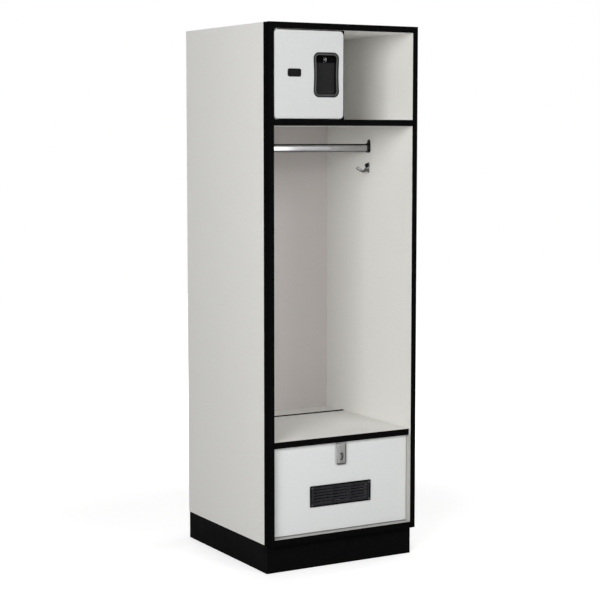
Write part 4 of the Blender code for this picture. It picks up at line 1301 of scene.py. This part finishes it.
blade = board(
    "blade",
    (-slot_width / 2 - BLADE_REACH, -BLADE_THICK / 2, -BLADE_HEIGHT / 2),
    (slot_width / 2 + BLADE_REACH, BLADE_THICK / 2, BLADE_HEIGHT / 2),
)
ease(blade, GRILLE_EASE, 3, 40)
pick_all(blade)
bpy.ops.transform.rotate(value=BLADE_SLOPE, orient_axis="X", center_override=(0, 0, 0))
start()
rack = []
for middle_x in columns:
    for row in range(GRILLE_ROWS):
        blade_z = slots_top - BLADE_HEIGHT / 2 - row * ROW_PITCH
        rack.append(twin(blade, "blade", (middle_x, GRILLE_HIGH.y - BLADE_BACK, blade_z)))
bpy.data.objects.remove(blade, do_unlink=True)
print("blades:", len(rack))
focus(rack[0])
for copy in rack:
    copy.select_set(True)
bpy.ops.object.join()
weld(grille, rack[0])
hand_over(grille, VENT_GREY, "vent_grille")

# %% Blacken the border
BORDER_SLACK = 0.0005

border = BORDER + BORDER_SLACK
second_finish(
    grille,
    BLACK_EDGE,
    lambda low, high: high.x < GRILLE_LOW.x + border
    or low.x > GRILLE_HIGH.x - border
    or high.z < GRILLE_LOW.z + border
    or low.z > GRILLE_HIGH.z - border
    or (high.y < GRILLE_LOW.y + BORDER_SLACK and high.x - low.x > grille_width / 2),
)

# %% [markdown]
# ## The hasp
#
# The hasp closes the chest. A leaf under the lid and the strap share three knuckles on a pin. The strap
# has a pressed border, which a row of insets gives to a round-cornered sheet, and a window for the ring
# behind it. The middle knuckle is the strap's. It is turned over the whole width, and then both sides are
# cut away for the leaf's knuckles. The lower and right rims of the strap are painted a dull dark steel,
# as shade.

# %% Press the strap
STRAP_LOW, STRAP_HIGH, STRAP_MIDDLE = place_of("hasp_strap")
PIN_MIDDLE = place_of("hasp_pin")[2]

STRAP_RIM = 0.0034
# Each step: how far inwards, and how far outwards, away from the panel.
STRAP_STEPS = (
    (0.0010, 0.0002),
    (0.0010, 0.0006),
    (0.0024, 0.0018),
    (0.0010, 0.0006),
    (0.0010, 0.0002),
)
STRAP_SKIN = 0.0013
STRAP_CORNER = 0.0075
PRESS_DROP = 0.0032

strap_top = PIN_MIDDLE.z
strap_width = STRAP_HIGH.x - STRAP_LOW.x
press_top = strap_top - PRESS_DROP
strap = rounded_sheet(
    "hasp_strap_pressed",
    (STRAP_MIDDLE.x, STRAP_LOW.y + STRAP_RIM, (STRAP_LOW.z + press_top) / 2),
    strap_width,
    press_top - STRAP_LOW.z,
    STRAP_CORNER,
    8,
)
pick_all(strap)
for inward, outward in STRAP_STEPS:
    bpy.ops.mesh.inset(thickness=inward, depth=outward, use_even_offset=True)
start()
apply(strap, "SOLIDIFY", thickness=STRAP_SKIN, offset=-1, use_even_offset=True)
print("strap skin:", len(strap.data.polygons), "faces")

# %% Roll its knuckle
KNUCKLE_RADIUS = 0.003
KNUCKLES = 3
KNUCKLE_GAP = 0.0005
PIN_HOLE = 0.0015
NECK = 0.009
NECK_FRONT = 0.0006


def along_pin(name, reach, radius, sides):
    """A round body along the pin, which reaches past both sides of the strap."""
    first = (STRAP_LOW.x - reach, PIN_MIDDLE.y, strap_top)
    last = (STRAP_HIGH.x + reach, PIN_MIDDLE.y, strap_top)
    return rod_body(name, first, last, radius, sides)


neck = board(
    "neck",
    (STRAP_LOW.x, STRAP_LOW.y + STRAP_RIM - NECK_FRONT, strap_top - NECK),
    (STRAP_HIGH.x, STRAP_LOW.y + STRAP_RIM + STRAP_SKIN - FIT, strap_top),
)
weld(strap, neck)
weld(strap, along_pin("knuckle", 0, KNUCKLE_RADIUS, 32))
carve(strap, along_pin("pin_hole", CUT_REACH, PIN_HOLE, 24))
pitch = strap_width / KNUCKLES
clear = KNUCKLE_RADIUS + FIT
for first, last in (
    (STRAP_LOW.x - CUT_REACH, STRAP_LOW.x + pitch + KNUCKLE_GAP / 2),
    (STRAP_HIGH.x - pitch - KNUCKLE_GAP / 2, STRAP_HIGH.x + CUT_REACH),
):
    gap = board(
        "gap",
        (first, PIN_MIDDLE.y - clear, strap_top - clear),
        (last, PIN_MIDDLE.y + clear, strap_top + clear),
    )
    carve(strap, gap)
print("strap knuckle:", round((pitch - KNUCKLE_GAP) * 1000, 1), "mm long")

# %% Cut the window
WINDOW_WIDTH = 0.016
WINDOW_HEIGHT = 0.036
WINDOW_DROP = 0.036
STRAP_SHADE_BELOW = 0.002
STRAP_SHADE_RISE = 0.00015

window = slab(
    "window",
    (STRAP_MIDDLE.x, STRAP_LOW.y + STRAP_RIM, strap_top - WINDOW_DROP - WINDOW_HEIGHT / 2),
    WINDOW_WIDTH,
    WINDOW_HEIGHT,
    4 * STRAP_RIM,
    STRAP_CORNER,
)
carve(strap, window)
smooth(strap, 50)
hand_over(strap, STEEL, "hasp_strap")
strap_shade_x = STRAP_HIGH.x - STRAP_CORNER
strap_shade_z = STRAP_LOW.z + STRAP_CORNER
# Painted shade: the strap's lower and right rims take dull steel.
second_finish(
    strap,
    DULL_STEEL,
    lambda low, high: high.y - low.y > STRAP_SHADE_RISE
    and high.z < press_top - STRAP_SHADE_BELOW
    and (low.x > strap_shade_x or high.z < strap_shade_z),
)

# %% [markdown]
# ## The ring for the padlock
#
# The ring comes through the strap's window and holds the padlock. It is a bent wire, longer than it is
# wide, so a torus is drawn apart at its waist. It swings in a lug on a small bright plate on the panel
# behind the strap.

# %% Bend the ring
RING_LOW, RING_HIGH, RING_MIDDLE = place_of("staple_ring")
RING_WIRE = (RING_HIGH.y - RING_LOW.y) / 2
ring_radius = (RING_HIGH.x - RING_LOW.x) / 2 - RING_WIRE
ring_waist = RING_LOW.z + RING_WIRE + ring_radius
start()
bpy.ops.mesh.primitive_torus_add(
    location=(RING_MIDDLE.x, RING_MIDDLE.y, ring_waist),
    rotation=(math.pi / 2, 0, 0),
    major_segments=48,
    minor_segments=16,
    major_radius=ring_radius,
    minor_radius=RING_WIRE,
)
ring = settle(bpy.context.object, "padlock_ring")
pick(ring, "corners", lambda low, high: low.z > ring_waist + HAIR)
bpy.ops.transform.translate(value=(0, 0, RING_HIGH.z - RING_LOW.z - 2 * (ring_radius + RING_WIRE)))
start()
smooth(ring, 60)
hand_over(ring, DARK_STEEL, "staple_ring")

# %% Press its plate
STAPLE_LOW, STAPLE_HIGH, STAPLE_MIDDLE = place_of("staple_plate")
STAPLE_THICK = 0.0015
STAPLE_CORNER = 0.004
STAPLE_EASE = 0.0003
LUG_WIDTH = 0.005
LUG_RADIUS = 0.0028
LUG_HOLE = 0.0016


def across_ring(name, half, radius, sides):
    """A round body along the line that the ring swings on."""
    axis_z = RING_HIGH.z - RING_WIRE
    return rod_body(name, (-half, RING_MIDDLE.y, axis_z), (half, RING_MIDDLE.y, axis_z), radius, sides)


staple = slab(
    "staple_plate_pressed",
    (STAPLE_MIDDLE.x, STAPLE_HIGH.y - STAPLE_THICK / 2, STAPLE_MIDDLE.z),
    STAPLE_HIGH.x - STAPLE_LOW.x,
    STAPLE_HIGH.z - STAPLE_LOW.z,
    STAPLE_THICK,
    STAPLE_CORNER,
)
weld(staple, across_ring("lug", LUG_WIDTH / 2, LUG_RADIUS, 32))
carve(staple, across_ring("lug_hole", LUG_WIDTH, LUG_HOLE, 24))
ease(staple, STAPLE_EASE, 2, 50)
hand_over(staple, BRIGHT_ZINC, "staple_plate")
lug_back = STAPLE_HIGH.y - STAPLE_THICK - FIT
# Painted shade: the lug takes dark steel, as the shade behind the strap.
second_finish(staple, DARK_STEEL, lambda low, high: low.y < lug_back)
